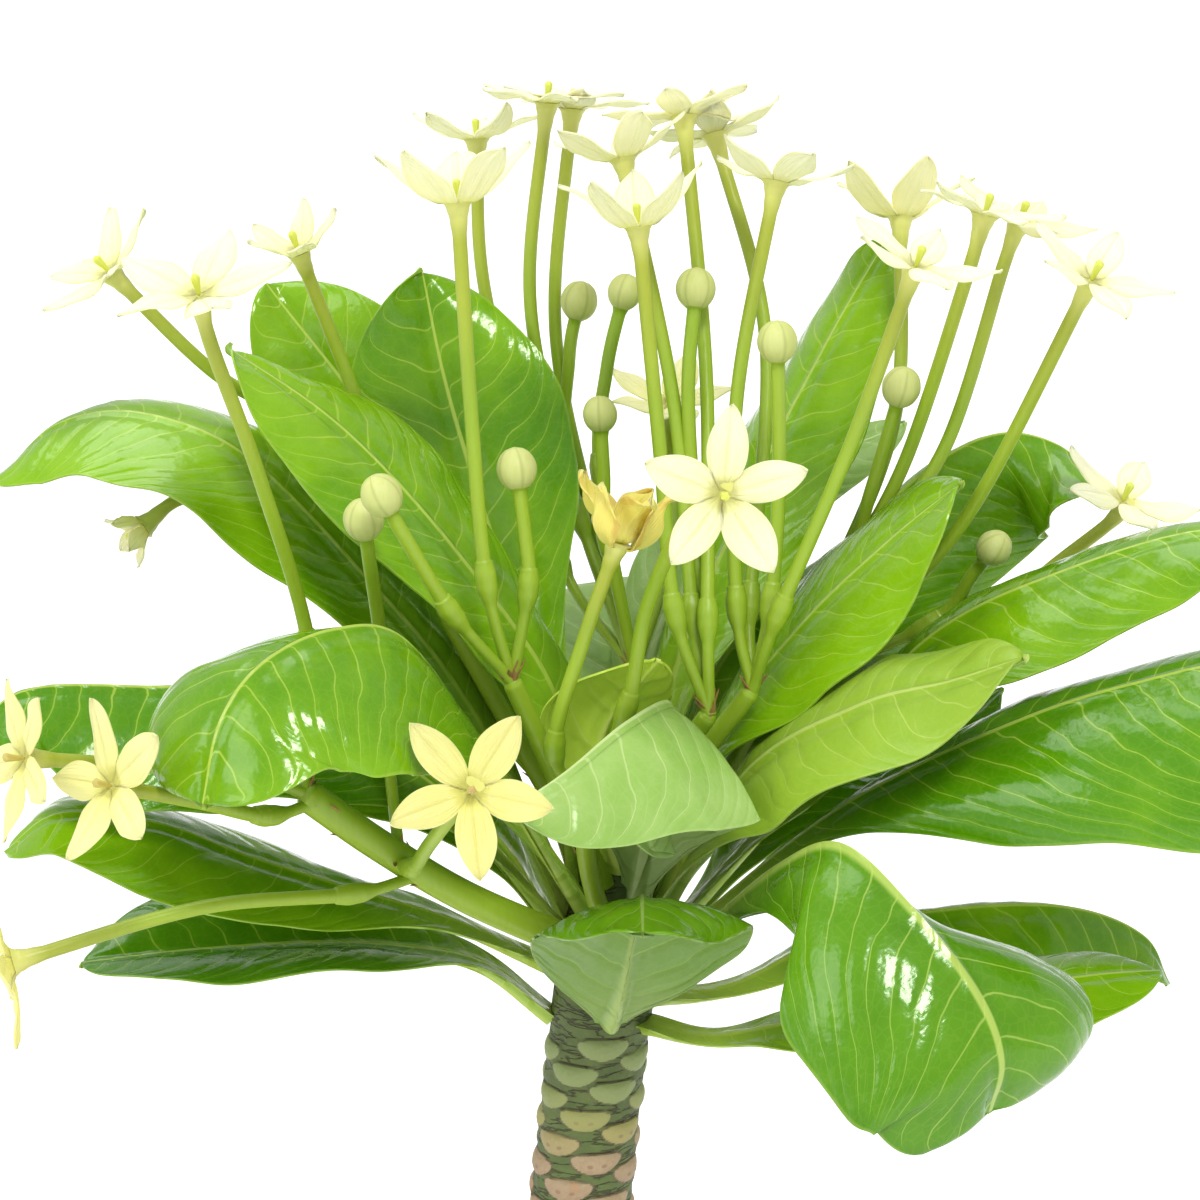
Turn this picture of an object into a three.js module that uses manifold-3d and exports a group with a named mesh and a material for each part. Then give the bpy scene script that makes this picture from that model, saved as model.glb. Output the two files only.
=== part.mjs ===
// A potted vulcan palm in flower: a plain pot, soil, a scarred succulent trunk, a crown of
// leaves, and sprays of long-tubed star flowers. Millimetres, +Z up, origin under the pot.
import * as THREE from 'three';
import { mergeVertices } from 'three/addons/utils/BufferGeometryUtils.js';
import Module from 'manifold-3d';

const wasm = await Module();
wasm.setup();

// Driving dimensions
const gap = 0.3;
const pot = { rim: 75, foot: 52, height: 132, wall: 5, floor: 7, band: 24, step: 3.5, sides: 32 };
const soilSides = 24;
const drain = { radius: 4.5, ring: 25, count: 3 };
const soilTop = 112;
const trunk = { foot: 66, crown: 298, tip: 352, radius: 14.4, swell: 17, lean: 12, sides: 18, rows: 30 };
const scar = { pitch: 1.62, turn: 137.5, halfWidth: 0.62, halfHeight: 3.6, relief: 1.1 };
const blade = {
  clear: 0.5, thickness: 1.1, keel: 3.2, keelTip: 0.9, rib: 3.2, ribTip: 1.2, strap: 4.6, bulge: 0.06,
  flatTip: 24,
};
const bladeGrid = { rows: 8, crowding: 1.35 };
const stalk = { radius: 2.3, mouth: 3.3, calyx: 3.9, bud: 5.6, sides: 5, step: 30 };
const star = {
  notch: 3.8, reach: 22, belly: 12.5, halfWidth: 5.2, thickness: 0.9, rim: 0.8, style: 5, recurve: 0.3,
};

// Finishes
const colours = {
  terracotta: ['#b5714c', 0.85],
  soil: ['#4a3a2c', 0.95],
  bark: ['#5b5a3c', 0.8],
  leaf: ['#6fa521', 0.3],
  youngLeaf: ['#9cc23e', 0.4],
  backLeaf: ['#a9c874', 0.4],
  stem: ['#8fae3c', 0.5],
  petal: ['#efe8a6', 0.6],
  agedPetal: ['#d9b84a', 0.7],
};

function finish(kind) {
  const [color, roughness] = colours[kind];
  return new THREE.MeshStandardMaterial({ color, roughness, metalness: 0 });
}

const degrees = THREE.MathUtils.degToRad;
const mix = THREE.MathUtils.lerp;
const clamp = THREE.MathUtils.clamp;
const vector = (numbers) => new THREE.Vector3(...numbers);

// Solids: a closed geometry becomes a solid, solids are joined or cut, and a solid becomes a mesh

function toSolid(geometry) {
  geometry.deleteAttribute('normal');
  geometry.deleteAttribute('uv');
  const merged = mergeVertices(geometry, 1e-4);
  const vertProperties = new Float32Array(merged.attributes.position.array);
  const triVerts = new Uint32Array(merged.index.array);
  return new wasm.Manifold(new wasm.Mesh({ numProp: 3, vertProperties, triVerts }));
}

function toGeometry(solid) {
  const { vertProperties, triVerts } = solid.getMesh();
  const geometry = new THREE.BufferGeometry();
  geometry.setAttribute('position', new THREE.BufferAttribute(vertProperties, 3));
  geometry.setIndex(new THREE.BufferAttribute(triVerts, 1));
  geometry.computeVertexNormals();
  return geometry;
}

const plant = new THREE.Group();

function addPiece(name, geometry, kind) {
  const mesh = new THREE.Mesh(geometry, finish(kind));
  mesh.name = name;
  plant.add(mesh);
}

// A closed solid round rings of corner points, with a flat cap on the first and the last ring
function solidFromRings(rings) {
  const sides = rings[0].length;
  const faces = [];
  for (let ring = 0; ring < rings.length - 1; ring += 1) {
    for (let side = 0; side < sides; side += 1) {
      const next = (side + 1) % sides;
      const a = ring * sides + side;
      const b = ring * sides + next;
      faces.push(a, b, b + sides, a, b + sides, a + sides);
    }
  }
  const last = (rings.length - 1) * sides;
  for (let side = 1; side < sides - 1; side += 1) {
    faces.push(0, side + 1, side, last, last + side, last + side + 1);
  }
  return toSolid(fromFaces(rings.flat(), faces));
}

function fromFaces(points, faces) {
  const positions = points.flatMap((point) => [point.x, point.y, point.z]);
  const geometry = new THREE.BufferGeometry();
  geometry.setAttribute('position', new THREE.Float32BufferAttribute(positions, 3));
  geometry.setIndex(faces);
  geometry.computeVertexNormals();
  return geometry;
}

// Pot: a plain tapered pot with a rim band, a flat foot and three drain holes round its centre

function potSolid() {
  const wallAt = (z) => mix(pot.foot, pot.rim - pot.step, z / (pot.height - pot.band));
  const bandFoot = pot.height - pot.band;
  const outline = [
    [0, 0], [pot.foot - 1.5, 0], [pot.foot, 1.5],
    [wallAt(bandFoot), bandFoot], [pot.rim - 0.6, bandFoot], [pot.rim, bandFoot + 1.2],
    [pot.rim, pot.height - 2], [pot.rim - 2, pot.height], [pot.rim - pot.wall, pot.height],
    [pot.rim - pot.wall - 1.5, pot.height - 1.5], [pot.foot - pot.wall, pot.floor], [0, pot.floor],
  ].map(([radius, z]) => new THREE.Vector2(radius, z));
  let solid = toSolid(new THREE.LatheGeometry(outline, pot.sides).rotateX(Math.PI / 2));
  for (let index = 0; index < drain.count; index += 1) {
    const angle = degrees(90 + 360 * index / drain.count);
    const hole = new THREE.CylinderGeometry(drain.radius, drain.radius, 3 * pot.floor, 16);
    hole.rotateX(Math.PI / 2);
    hole.translate(drain.ring * Math.cos(angle), drain.ring * Math.sin(angle), 0);
    solid = solid.subtract(toSolid(hole));
  }
  return solid;
}

function potInside(z) {
  const top = pot.height - 1.5;
  return mix(pot.foot - pot.wall, pot.rim - pot.wall - 1.5, (z - pot.floor) / (top - pot.floor));
}

// Trunk: bulbous at the soil, slim under the crown, with leaf scars in a spiral

function trunkCentre(z) {
  const rise = Math.max(0, (z - soilTop) / (trunk.crown - soilTop));
  return trunk.lean * rise ** 1.8;
}

function trunkRadius(z) {
  if (z > trunk.crown) {
    return trunk.radius * Math.sqrt(Math.max(0, 1 - ((z - trunk.crown) / (trunk.tip - trunk.crown)) ** 4));
  }
  if (z < soilTop) {
    const depth = (soilTop - z) / (soilTop - trunk.foot);
    return (trunk.radius + trunk.swell) * Math.sqrt(Math.max(0, 1 - depth ** 2));
  }
  const rise = (z - soilTop) / (trunk.crown - soilTop);
  return trunk.radius + trunk.swell * (1 - rise) ** 3;
}

// How far a point stands on a scar, from 0 on the bark to 1 in the middle of a scar
function scarHeight(angle, z) {
  let height = 0;
  const nearest = Math.round((trunk.crown - z) / scar.pitch);
  for (let index = Math.max(0, nearest - 4); index <= nearest + 4; index += 1) {
    const across = Math.atan2(
      Math.sin(angle - degrees(index * scar.turn)),
      Math.cos(angle - degrees(index * scar.turn)),
    ) / scar.halfWidth;
    const up = (z - (trunk.crown - index * scar.pitch)) / scar.halfHeight;
    height = Math.max(height, 1 - across ** 2 - (up - 0.5 * across ** 2) ** 2);
  }
  return height;
}

// Heights of the rings of the trunk: its buried foot, its scarred bark and its rounded crown
function trunkHeights() {
  const buried = [0, 0.15, 0.5].map((part) => mix(trunk.foot, soilTop, part));
  const bark = Array.from({ length: trunk.rows }, (_, row) => mix(soilTop, trunk.crown, row / trunk.rows));
  const crown = [0, 0.27, 0.53, 0.75, 0.9, 0.98, 1].map((part) => mix(trunk.crown, trunk.tip, part));
  return [...buried, ...bark, ...crown];
}

function trunkSolid() {
  const rings = trunkHeights().map((z) => {
    const bare = z > trunk.crown || z < soilTop + 2 ? 0 : 1;
    return Array.from({ length: trunk.sides }, (_, side) => {
      const angle = 2 * Math.PI * side / trunk.sides;
      const radius = Math.max(0.5, trunkRadius(z)) + bare * scar.relief * (scarHeight(angle, z) - 0.4);
      return new THREE.Vector3(trunkCentre(z) + radius * Math.cos(angle), radius * Math.sin(angle), z);
    });
  });
  return solidFromRings(rings);
}

// Soil: fills the pot to below its rim, with a plain hole for the buried foot of the trunk
function soilSolid() {
  const under = pot.floor + gap;
  const outline = [
    [0, under], [potInside(under) - gap, under], [potInside(soilTop - 1) - gap, soilTop - 1],
    [potInside(soilTop) - 4, soilTop], [0, soilTop],
  ].map(([radius, z]) => new THREE.Vector2(radius, z));
  const body = toSolid(new THREE.LatheGeometry(outline, soilSides).rotateX(Math.PI / 2));
  const clearance = trunk.radius + trunk.swell + 2 * gap;
  const depth = soilTop - trunk.foot + gap;
  const hole = new THREE.CylinderGeometry(clearance, clearance, 2 * depth, soilSides);
  return body.subtract(toSolid(hole.rotateX(Math.PI / 2).translate(0, 0, soilTop)));
}

// Leaves: each follows its midrib from a seat on the crown, as a folded, waved blade with a keel

function seatPoint(turn, z, clear) {
  const out = trunkRadius(z) + clear;
  const angle = degrees(turn);
  return new THREE.Vector3(trunkCentre(z) + out * Math.cos(angle), out * Math.sin(angle), z);
}

function halfWidth(leaf, u) {
  const belly = Math.log(0.5) / Math.log(leaf.widest ?? 0.66);
  const strap = blade.strap * (1 - u ** 3);
  const fullness = mix(leaf.foot ?? 1.3, leaf.tip ?? 0.55, u);
  const lamina = leaf.width / 2 * Math.max(0, Math.sin(Math.PI * u ** belly)) ** fullness;
  return Math.max(1.1, Math.hypot(strap, lamina));
}

// A smooth run through values spaced evenly from the foot of a leaf to its tip
function through(values, u) {
  const place = u * (values.length - 1);
  return values.reduce((sum, value, index) => {
    const others = values.map((_, other) => (other === index ? 1 : (place - other) / (index - other)));
    return sum + value * others.reduce((product, factor) => product * factor, 1);
  }, 0);
}

function bladeFrame(curve, across, u) {
  const along = curve.getTangentAt(u);
  const side = across.clone().addScaledVector(along, -along.dot(across)).normalize();
  return { origin: curve.getPointAt(u), along, side, up: along.clone().cross(side) };
}

// How far each half of the blade is raised at one place, in radians. The very tip is flat
function raisedHalves(leaf, u) {
  return [leaf.left, leaf.right].map((raise) => (1 - u ** blade.flatTip) * degrees(through(raise, u)));
}

// A point of the blade's upper face: u runs along the midrib, v from margin to margin
function bladePoint(frame, leaf, u, v) {
  const half = halfWidth(leaf, u);
  const reach = Math.abs(v);
  const chord = raisedHalves(leaf, u)[v > 0 ? 0 : 1];
  const open = clamp(u * 2.5, 0, 1);
  const [height, count, phase] = leaf.wave ?? [0, 1, 0];
  const ripple = height * open * reach ** 2 * Math.sin(2 * Math.PI * (count * u + phase) + v);
  const rise = 4 * (leaf.bulge ?? blade.bulge) * open * half * reach * (1 - reach);
  const ahead = (leaf.ahead ?? [0, 0])[v > 0 ? 0 : 1] * reach ** 2 * u * 2 * half / leaf.width;
  const x = v * half * Math.cos(chord) - Math.sign(v) * rise * Math.sin(chord);
  const y = reach * half * Math.sin(chord) + rise * Math.cos(chord) + ripple;
  const point = frame.origin.clone().addScaledVector(frame.along, ahead);
  return point.addScaledVector(frame.side, x).addScaledVector(frame.up, y);
}

// How thick the blade is there: a keel under the midrib, and less where a drooping fold is narrow
function bladeDepth(leaf, u, v) {
  if (v === 0) {
    return blade.thickness + mix(blade.keel, blade.keelTip, u);
  }
  const [left, right] = raisedHalves(leaf, u);
  const opening = (Math.PI + left + right) / 2;
  const room = opening < Math.PI / 2 ? 0.8 * Math.abs(v) * halfWidth(leaf, u) * Math.tan(opening) : Infinity;
  return Math.min(blade.thickness, room);
}

function leafGeometry(leaf) {
  const seat = seatPoint(leaf.turn, leaf.seat, leaf.clear ?? blade.clear);
  const curve = new THREE.CatmullRomCurve3([seat, ...leaf.path.map(vector)], false, 'catmullrom', 0.5);
  const outward = vector(leaf.path[leaf.path.length - 1]).sub(seat);
  const across = new THREE.Vector3(-outward.y, outward.x, 0).normalize();
  const upper = [];
  const depths = [];
  const rows = leaf.rows ?? bladeGrid.rows;
  for (let row = 0; row <= rows; row += 1) {
    const u = 1 - (1 - row / rows) ** bladeGrid.crowding;
    const frame = bladeFrame(curve, across, u);
    const rib = Math.min(0.5, mix(blade.rib, blade.ribTip, u) / halfWidth(leaf, u));
    for (const v of [-1, -mix(rib, 1, 0.5), -rib, 0, rib, mix(rib, 1, 0.5), 1]) {
      upper.push(bladePoint(frame, leaf, u, v));
      depths.push(bladeDepth(leaf, u, v));
    }
  }
  const columns = upper.length / (rows + 1);
  const faces = gridFaces(rows, columns);
  const { normal } = fromFaces(upper, faces.flat()).attributes;
  const middleOfTip = upper.length - (columns + 1) / 2;
  const lower = upper.map((point, index) => {
    const spot = Math.floor(index / columns) === rows ? middleOfTip : index;
    const outwards = new THREE.Vector3().fromBufferAttribute(normal, spot);
    return point.clone().addScaledVector(outwards, -depths[index]);
  });
  return closedLayers(lower, upper, faces, gridBorder(rows, columns));
}

// Triangles of a grid of points that is seen from above, with one row of points after the other
function gridFaces(rows, columns) {
  const faces = [];
  for (let row = 0; row < rows; row += 1) {
    for (let column = 1; column < columns; column += 1) {
      const right = row * columns + column;
      const left = right - 1;
      faces.push([left, left + columns, right], [right, left + columns, right + columns]);
    }
  }
  return faces;
}

// The outer points of such a grid, in the direction in which its triangles run
function gridBorder(rows, columns) {
  const up = Array.from({ length: rows }, (_, row) => row * columns);
  const over = Array.from({ length: columns - 1 }, (_, column) => rows * columns + column);
  const last = (rows + 1) * columns - 1;
  return [...up, ...over, ...[...up, ...over].map((place) => last - place)];
}

// A closed body between two layers of points, split into triangles alike in both. The border runs
// round the faces in their own direction
function closedLayers(lower, upper, faces, border) {
  const count = lower.length;
  const triangles = faces.flatMap(([a, b, c]) => [a + count, b + count, c + count, a, c, b]);
  border.forEach((from, index) => {
    const to = border[(index + 1) % border.length];
    triangles.push(from, to, to + count, from, to + count, from + count);
  });
  return fromFaces([...lower, ...upper], triangles);
}

// turn and seat: where the leaf leaves the crown, as a compass angle and a height. path: its midrib
// after the seat. left and right: degrees that each half of the blade is raised above the level, from
// the foot to the tip, as seen looking outward along the leaf. ahead: how far each margin is drawn
// towards the tip. bulge: how far each half is arched, as a share of its width
const leaves = [
  { name: 'leaf_left_upper', turn: 162, seat: 329, width: 64, left: [-10, -18, -42], right: [20, 4, -8],
    path: [[-25, 6, 390], [-58, 18, 428], [-89, 28, 457], [-118, 36, 467], [-142, 40, 463],
      [-158, 40, 449]], ahead: [8, 0], tip: 0.28 },
  { name: 'leaf_left_rising', turn: 185, seat: 339, width: 58, left: [0, -22, -20], right: [30, 14, 10],
    path: [[0, -8, 394], [-28, -4, 436], [-58, 3, 468], [-89, 10, 489]], wave: [1.5, 2, 0], clear: 1.8 },
  { name: 'leaf_left_behind', turn: 136, seat: 334, width: 64, left: [0, -35, -35], right: [30, 70, 70],
    path: [[-12, 37, 392], [-44, 66, 444], [-86, 80, 498]], clear: 1 },
  { name: 'leaf_back_left', turn: 112, seat: 342, width: 66, left: [10, -32, -24], right: [30, 58, 46],
    path: [[-1, 20, 383], [-15, 37, 418], [-30, 50, 464], [-39, 58, 504]], wave: [1.5, 1, 0],
    widest: 0.72, foot: 1.8, clear: 1.5 },
  { name: 'leaf_back_right', turn: 42, seat: 340, width: 62, left: [20, -15, -15], right: [10, -5, -8],
    path: [[33, 20, 394], [55, 37, 444], [75, 48, 482], [93, 55, 513]], wave: [1.5, 2, 0], clear: 0.8 },
  { name: 'leaf_back_centre', turn: 84, seat: 324, width: 60, left: [10, 0, -5], right: [10, 0, -8],
    path: [[17, 34, 362], [22, 66, 388], [28, 104, 402], [34, 142, 394]], kind: 'backLeaf',
    wave: [2, 2, 0] },
  { name: 'leaf_back_left_low', turn: 128, seat: 314, width: 62, left: [10, 0, -8], right: [10, -5, -12],
    path: [[-16, 34, 346], [-46, 66, 366], [-74, 96, 370], [-96, 120, 356]], kind: 'backLeaf',
    wave: [2, 2, 0] },
  { name: 'leaf_back_right_low', turn: 52, seat: 312, width: 62, left: [10, 0, -8], right: [10, -5, -12],
    path: [[40, 36, 342], [66, 68, 360], [92, 102, 366], [112, 128, 354]], kind: 'backLeaf',
    wave: [2, 2, 0.3] },
  { name: 'leaf_right_behind', turn: 42, seat: 328, width: 76, left: [10, -30, -35], right: [0, -68, -62],
    path: [[45, 30, 393], [84, 46, 428], [108, 52, 449], [127, 53, 458], [144, 51, 455], [155, 47, 445]],
    clear: 0.8, ahead: [0, 12], tip: 0.3, bulge: 0.12 },
  { name: 'leaf_right_pale', turn: 65, seat: 336, width: 46, left: [10, 0, 0], right: [0, -10, -10],
    path: [[28, 50, 396], [58, 88, 432], [104, 104, 452]], kind: 'backLeaf', clear: 0.8 },
  { name: 'leaf_right_rising', turn: 348, seat: 337, width: 60, left: [10, 13, 15], right: [0, -30, -30],
    path: [[44, 0, 382], [66, -4, 413], [90, -12, 440], [108, -18, 457]], tip: 0.38 },
  { name: 'leaf_far_right', turn: 357, seat: 323, width: 60, left: [10, -5, -5], right: [0, -32, -32],
    path: [[72, -8, 377], [101, -12, 413], [133, -18, 432], [171, -22, 445], [197, -24, 444]] },
  { name: 'leaf_young_right', turn: 314, seat: 328, width: 54, left: [10, 22, 24], right: [0, -42, -35],
    path: [[52, -24, 379], [80, -46, 403], [103, -58, 413], [120, -66, 421]], kind: 'youngLeaf',
    widest: 0.55, clear: 0.9, wave: [1.5, 2, 0.2] },
  { name: 'leaf_right_shaded', turn: 12, seat: 315, width: 50, left: [10, 10, 10], right: [0, -15, -15],
    path: [[66, 16, 362], [96, 26, 373], [113, 32, 378], [127, 36, 386]] },
  { name: 'leaf_right_broad', turn: 333, seat: 319, width: 100, left: [10, -15, -25], right: [-10, -44, -64],
    path: [[66, -26, 361], [92, -36, 381], [123, -44, 399], [151, -50, 410], [178, -56, 417],
      [202, -62, 409]], widest: 0.76, tip: 0.35, ahead: [0, 12], bulge: 0.18, wave: [2, 3, 0.4] },
  { name: 'leaf_right_curled', turn: 310, seat: 312, width: 92, left: [0, -40, -78, -35, -5],
    right: [0, -40, -52, -44, -25],
    path: [[44, -31, 340], [60, -52, 361], [74, -73, 373], [90, -92, 363], [106, -104, 344], [112, -108, 328],
      [110, -104, 313]], widest: 0.72, foot: 1.8, tip: 0.22, ahead: [0, 16], bulge: 0.12, rows: 9 },
  { name: 'leaf_right_low_back', turn: 358, seat: 307, width: 60, left: [10, -20, -20], right: [0, -48, -50],
    path: [[50, 2, 309], [81, 4, 325], [108, 8, 329], [144, 14, 328], [168, 18, 318], [176, 16, 304]] },
  { name: 'leaf_right_low', turn: 332, seat: 301, width: 48, left: [10, 5, 5], right: [0, -25, -25],
    path: [[45, -20, 302], [80, -36, 315], [119, -46, 325], [143, -48, 329], [162, -46, 330]] },
  { name: 'leaf_front_cupped', turn: 280, seat: 303, width: 62, left: [0, -15, -25], right: [0, -15, -25],
    path: [[18, -24, 318], [21, -36, 338], [23, -48, 351], [23, -60, 354], [23, -76, 351]],
    widest: 0.62, foot: 0.6, tip: 0.4 },
  { name: 'leaf_front_pale', turn: 297, seat: 337, width: 80, left: [0, -42, -30], right: [0, -94, -70],
    path: [[29, -20, 378], [31, -36, 401], [19, -58, 402], [3, -74, 393], [-12, -83, 385]],
    kind: 'youngLeaf', clear: 3.2, widest: 0.54, rows: 7 },
  { name: 'leaf_young_centre', turn: 268, seat: 346, width: 36, left: [10, 0, 0], right: [10, 10, 10],
    path: [[11, -12, 368], [13, -16, 390], [27, -26, 411]], kind: 'youngLeaf', clear: 1.8 },
  { name: 'leaf_left_front', turn: 222, seat: 335, width: 90, left: [0, -42, -34], right: [0, -34, 0],
    path: [[-20, -34, 390], [-39, -54, 423], [-56, -72, 430], [-72, -88, 425], [-82, -96, 412],
      [-86, -102, 393]], tip: 0.36, bulge: 0.1 },
  { name: 'leaf_far_left', turn: 200, seat: 327, width: 74, left: [0, -45, -50], right: [0, -20, -20],
    path: [[-33, -10, 370], [-74, -12, 396], [-113, -18, 401], [-143, -26, 402], [-159, -32, 388]] },
  { name: 'leaf_left_low', turn: 197, seat: 316, width: 60, left: [0, -22, -22], right: [10, -5, -5],
    path: [[-28, -8, 331], [-58, -12, 342], [-84, -16, 352], [-108, -20, 363], [-135, -24, 367],
      [-150, -26, 357]] },
  { name: 'leaf_left_lowest', turn: 182, seat: 301, width: 54, left: [0, 0, 0], right: [10, 24, 24],
    path: [[-21, 0, 316], [-44, -4, 322], [-71, -10, 325], [-101, -16, 325], [-131, -20, 323]] },
  { name: 'leaf_left_shaded', turn: 160, seat: 318, width: 54, left: [0, -20, -20], right: [10, 0, 0],
    path: [[-13, 6, 346], [-36, 16, 366], [-60, 24, 379], [-82, 30, 384]] },
];

for (const leaf of leaves) {
  addPiece(leaf.name, leafGeometry(leaf), leaf.kind ?? 'leaf');
}

// Flower sprays: a stem from a leaf axil, with a stalk for each flower or bud. A stalk carries a
// swollen calyx and a long corolla tube, and ends in a mouth under a star or in a round bud

// A stem along a curve, with a radius for each distance from its foot. Past the end it runs straight on
function sweptSolid(curve, stations, sides) {
  const length = curve.getLength();
  const across = new THREE.Vector3(0.3, 0.5, 0.8);
  const rings = stations.map(([distance, radius]) => {
    const { origin, side, up } = bladeFrame(curve, across, clamp(distance / length, 0, 1));
    across.copy(side);
    origin.addScaledVector(curve.getTangent(1), Math.max(0, distance - length));
    return Array.from({ length: sides }, (_, corner) => {
      const angle = 2 * Math.PI * corner / sides;
      const point = origin.clone().addScaledVector(side, radius * Math.cos(angle));
      return point.addScaledVector(up, radius * Math.sin(angle));
    });
  });
  return solidFromRings(rings);
}

// Even stations of one radius between two distances, without the ends
function evenStations(from, to, radius) {
  const count = Math.max(1, Math.round((to - from) / stalk.step));
  return Array.from({ length: count - 1 }, (_, index) => [mix(from, to, (index + 1) / count), radius]);
}

function curveFrom(start, path) {
  return new THREE.CatmullRomCurve3([start, ...path.map(vector)], false, 'catmullrom', 0.5);
}

function stalkSolid(curve, shoot) {
  const length = curve.getLength();
  const calyxAt = curve.getLengths(100)[Math.round(100 / shoot.path.length)];
  const head = shoot.bud
    ? [[-5, stalk.radius], [-2.5, 4.6], [0.5, stalk.bud], [4, 4.4], [6, 1]]
    : [[-7, stalk.radius], [0, stalk.mouth]];
  const size = shoot.bud ?? 1;
  const stations = [
    [0, stalk.radius], [calyxAt - 4.5, stalk.radius], [calyxAt, stalk.calyx], [calyxAt + 4.5, 2.7],
    ...evenStations(calyxAt + 4.5, length + head[0][0], stalk.radius),
    ...head.map(([distance, radius]) => [length + size * distance, size * radius]),
  ];
  return sweptSolid(curve, stations, shoot.bud ? stalk.sides + 1 : stalk.sides);
}

// A star of five pointed petals on the mouth of a tube. Each petal leaves the mouth raised by lift
// degrees, less towards its tip
function starSolid(shoot, end, facing) {
  const upright = new THREE.Quaternion().setFromUnitVectors(new THREE.Vector3(0, 0, 1), facing);
  const lift = degrees(shoot.lift ?? 12);
  const size = shoot.size ?? 1;
  const place = (radius, angle, rise) => {
    const out = Math.max(0, radius - star.notch);
    const bend = lift * (1 - star.recurve * out / star.reach);
    const flat = size * (radius - out + out * Math.cos(bend));
    const height = rise + size * out * Math.sin(bend);
    const point = new THREE.Vector3(flat * Math.cos(angle), flat * Math.sin(angle), height);
    return point.applyQuaternion(upright).add(end);
  };
  const lower = [place(0, 0, gap)];
  const upper = [place(0, 0, gap + star.thickness + star.style)];
  const faces = [];
  const border = [];
  const corners = 6;
  for (let petal = 0; petal < 5; petal += 1) {
    const angle = degrees((shoot.spin ?? 0) + 72 * petal);
    const spread = Math.atan2(star.halfWidth, star.belly);
    const out = Math.hypot(star.halfWidth, star.belly);
    const spots = [
      [star.notch, angle - degrees(36), 0], [out, angle - spread, star.rim], [star.reach, angle, 0],
      [out, angle + spread, star.rim], [star.notch, angle, 0], [star.belly, angle, 0],
    ];
    for (const [radius, turn, rise] of spots) {
      lower.push(place(radius, turn, gap + rise));
      upper.push(place(radius, turn, gap + rise + star.thickness));
    }
    const [notch, right, tip, left, root, middle] = spots.map((_, index) => 1 + corners * petal + index);
    const next = 1 + corners * ((petal + 1) % 5);
    faces.push([0, notch, root], [0, root, next], [notch, right, middle], [notch, middle, root]);
    faces.push([root, middle, left], [root, left, next], [right, tip, middle], [middle, tip, left]);
    border.push(notch, right, tip, left);
  }
  return toSolid(closedLayers(lower, upper, faces, border));
}

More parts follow.
